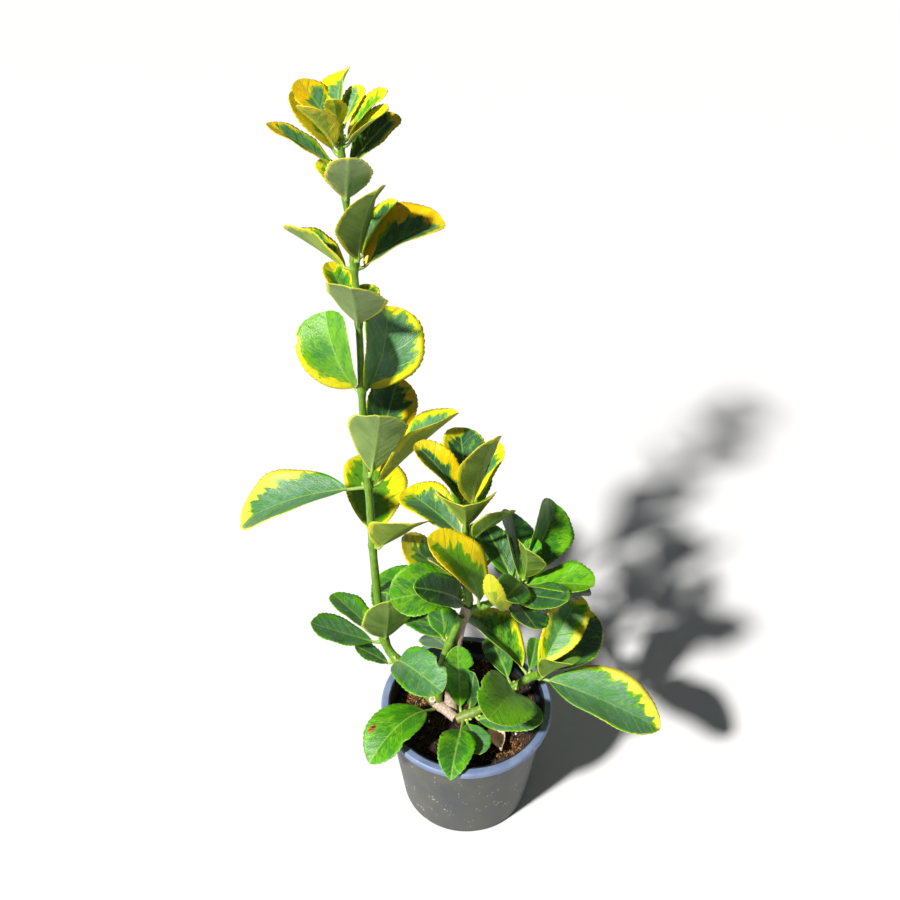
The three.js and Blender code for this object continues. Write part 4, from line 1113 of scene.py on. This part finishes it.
# %% [markdown]
# Each limb is a bevelled curve turned to a mesh. Green limbs swell at every node, which is where a
# leaf row starts. The woody trunk gets real bark relief: its points move out and in by noise that
# is stretched along the wood, before the fine cracks of the bump.

# %% Limbs
RING_STEP = 1.1
STEM_UNEVEN = 0.12
STEM_GRAIN = 300
BARK_RELIEF = 0.38
BARK_ACROSS = 420
BARK_ALONG = 130
TRUNK_FROM = 3.0
STUB_RADIUS = 2.15
STUB_FLATNESS = 0.22
GREEN_LIMBS = ("leader_stem", "crown_bough", "green_bough", "low_bough", "right_bough")


def limb_line(name, start=0.0):
    """Points and radii down a limb, close enough together for its nodes."""
    route = Route(LIMBS[name]["route"], 3 * SPLINE_STEPS)
    nodes = sorted({row["at"] for limb, _, rows in MASSES.values() if limb == name for row in rows})
    line = []
    for k in range(int((route.length - start) / RING_STEP) + 1):
        distance = min(start + k * RING_STEP, route.length)
        swell = max([math.exp(-((distance - node) / NODE_SPAN) ** 2) for node in nodes], default=0)
        line.append((route.at(distance)[0], limb_radius(name, distance) + NODE_SWELL * swell))
    return line


for name in GREEN_LIMBS:
    mesh = tube_mesh(name + "_skin", [limb_line(name)], sides=5)
    for vert in mesh.vertices:
        vert.co += STEM_UNEVEN * MM * noise.noise_vector(vert.co * STEM_GRAIN)
    skin = piece(name + "_skin", mesh, [green_stem])
    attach(skin, "root")
    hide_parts(name)
    print(skin.name + ":", len(mesh.polygons), "faces")

wood_lines = [limb_line("trunk", TRUNK_FROM), limb_line("old_wood"), limb_line("cut_stub")]
wood = tube_mesh("trunk_bark", wood_lines, sides=9)
normals = [vert.normal.copy() for vert in wood.vertices]
for vert, normal in zip(wood.vertices, normals):
    x, y, z = vert.co
    grain = noise.fractal(Vector((x * BARK_ACROSS, y * BARK_ACROSS, z * BARK_ALONG)), 0.8, 2.0, 5)
    vert.co += normal * BARK_RELIEF * MM * grain
trunk = piece("trunk_bark", wood, [grey_bark])
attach(trunk, "root")
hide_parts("trunk")

stub_route = ROUTES["cut_stub"]
stub_place, stub_axis = stub_route.at(stub_route.length)
stub_turn = Vector(stub_axis).to_track_quat("Z", "Y").to_matrix().to_4x4()
stub_matrix = Matrix.Translation(Vector(stub_place) * MM) @ stub_turn
stub_matrix = stub_matrix @ Matrix.Diagonal((1, 1, STUB_FLATNESS, 1))
bm = bmesh.new()
bmesh.ops.create_uvsphere(bm, u_segments=24, v_segments=10, radius=STUB_RADIUS * MM, matrix=stub_matrix)
stub = piece("cut_stub_face", from_bmesh("cut_stub_face", bm), [cut_wood])
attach(stub, "root")

# %% [markdown]
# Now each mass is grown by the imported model's rule, leaf by leaf, with its stalks and, unless it is
# a single leaf, a small bud in each leaf's axil. One bmesh gathers the blades, so a mass is one
# piece, and the attributes are written in the same order as the points.

# %% Masses of foliage
BUD_LONG = 2.6
BUD_WIDE = 1.5
BUD_OUT = 0.5
BUD_UP = 1.9
BUD_LEAN = 0.5
STALK_SLOT = 1
BUD_SLOT = 2


def grown_mass(name, limb_name, kind, rows, chance):
    """One mass: its blades, then its stalks, then its buds."""
    bm = bmesh.new()
    points, stalks, buds = [], [], []
    dressing = {title: [] for title in LEAF_ATTRIBUTES}
    for row in rows:
        axes = leaf_axes(row, limb_name, kind)
        bm.from_mesh(pattern)
        blade_points, attributes = bent_blade(row, axes, chance)
        points.append(blade_points)
        for title, values in attributes.items():
            dressing[title].append(values)
        stalks.append(stalk_line(row, axes))
        if kind != "alone":
            buds.append((axes, min(1.0, 0.45 + row["long"] / 70)))
    blade_count = len(bm.verts)
    stalk_mesh = tube_mesh(name + "_stalks", stalks, sides=3)
    stalk_mesh.polygons.foreach_set("material_index", [STALK_SLOT] * len(stalk_mesh.polygons))
    bm.from_mesh(stalk_mesh)
    for axes, size in buds:
        axil = Vector(axes["place"] + axes["out"] * (axes["radius"] + BUD_OUT) + axes["axis"] * BUD_UP)
        lean = Vector(axes["axis"] + BUD_LEAN * axes["out"]).to_track_quat("Z", "Y").to_matrix().to_4x4()
        shape = Matrix.Diagonal((BUD_WIDE * size, BUD_WIDE * size, BUD_LONG * size, 1))
        spot = Matrix.Translation(axil * MM) @ lean @ shape
        made = bmesh.ops.create_icosphere(bm, subdivisions=2, radius=0.5 * MM, matrix=spot)
        for face in {face for vert in made["verts"] for face in vert.link_faces}:
            face.material_index = BUD_SLOT
    mesh = from_bmesh("leaves_" + name, bm)

    total = len(mesh.vertices)
    co = np.zeros(total * 3)
    mesh.vertices.foreach_get("co", co)
    co = co.reshape(-1, 3)
    co[:blade_count] = np.concatenate(points) * MM
    mesh.vertices.foreach_set("co", co.ravel())
    for title, values in dressing.items():
        full = np.zeros((total, 3))
        full[:blade_count] = np.concatenate(values)
        layer = mesh.attributes.new(title, "FLOAT_VECTOR", "POINT")
        layer.data.foreach_set("vector", full.ravel())
    mesh.update()
    return mesh


chance = random.Random(11)
triangles = 0
for name, (limb_name, kind, rows) in MASSES.items():
    mesh = grown_mass(name, limb_name, kind, rows, chance)
    mass = piece("leaves_" + name, mesh, [leaf_skin, leaf_stalk, bud_scale])
    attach(mass, "root")
    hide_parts(name)
    mesh.calc_loop_triangles()
    triangles += len(mesh.loop_triangles)
print("foliage triangles:", triangles)

# %% [markdown]
# Last, the shown model's box is printed, as the imported one was at the start. Every leaf follows
# the imported model's own rule.

# %% Sizes and finish
shown_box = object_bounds()
print("shown box in mm:", [[round(v / MM, 1) for v in corner] for corner in shown_box])
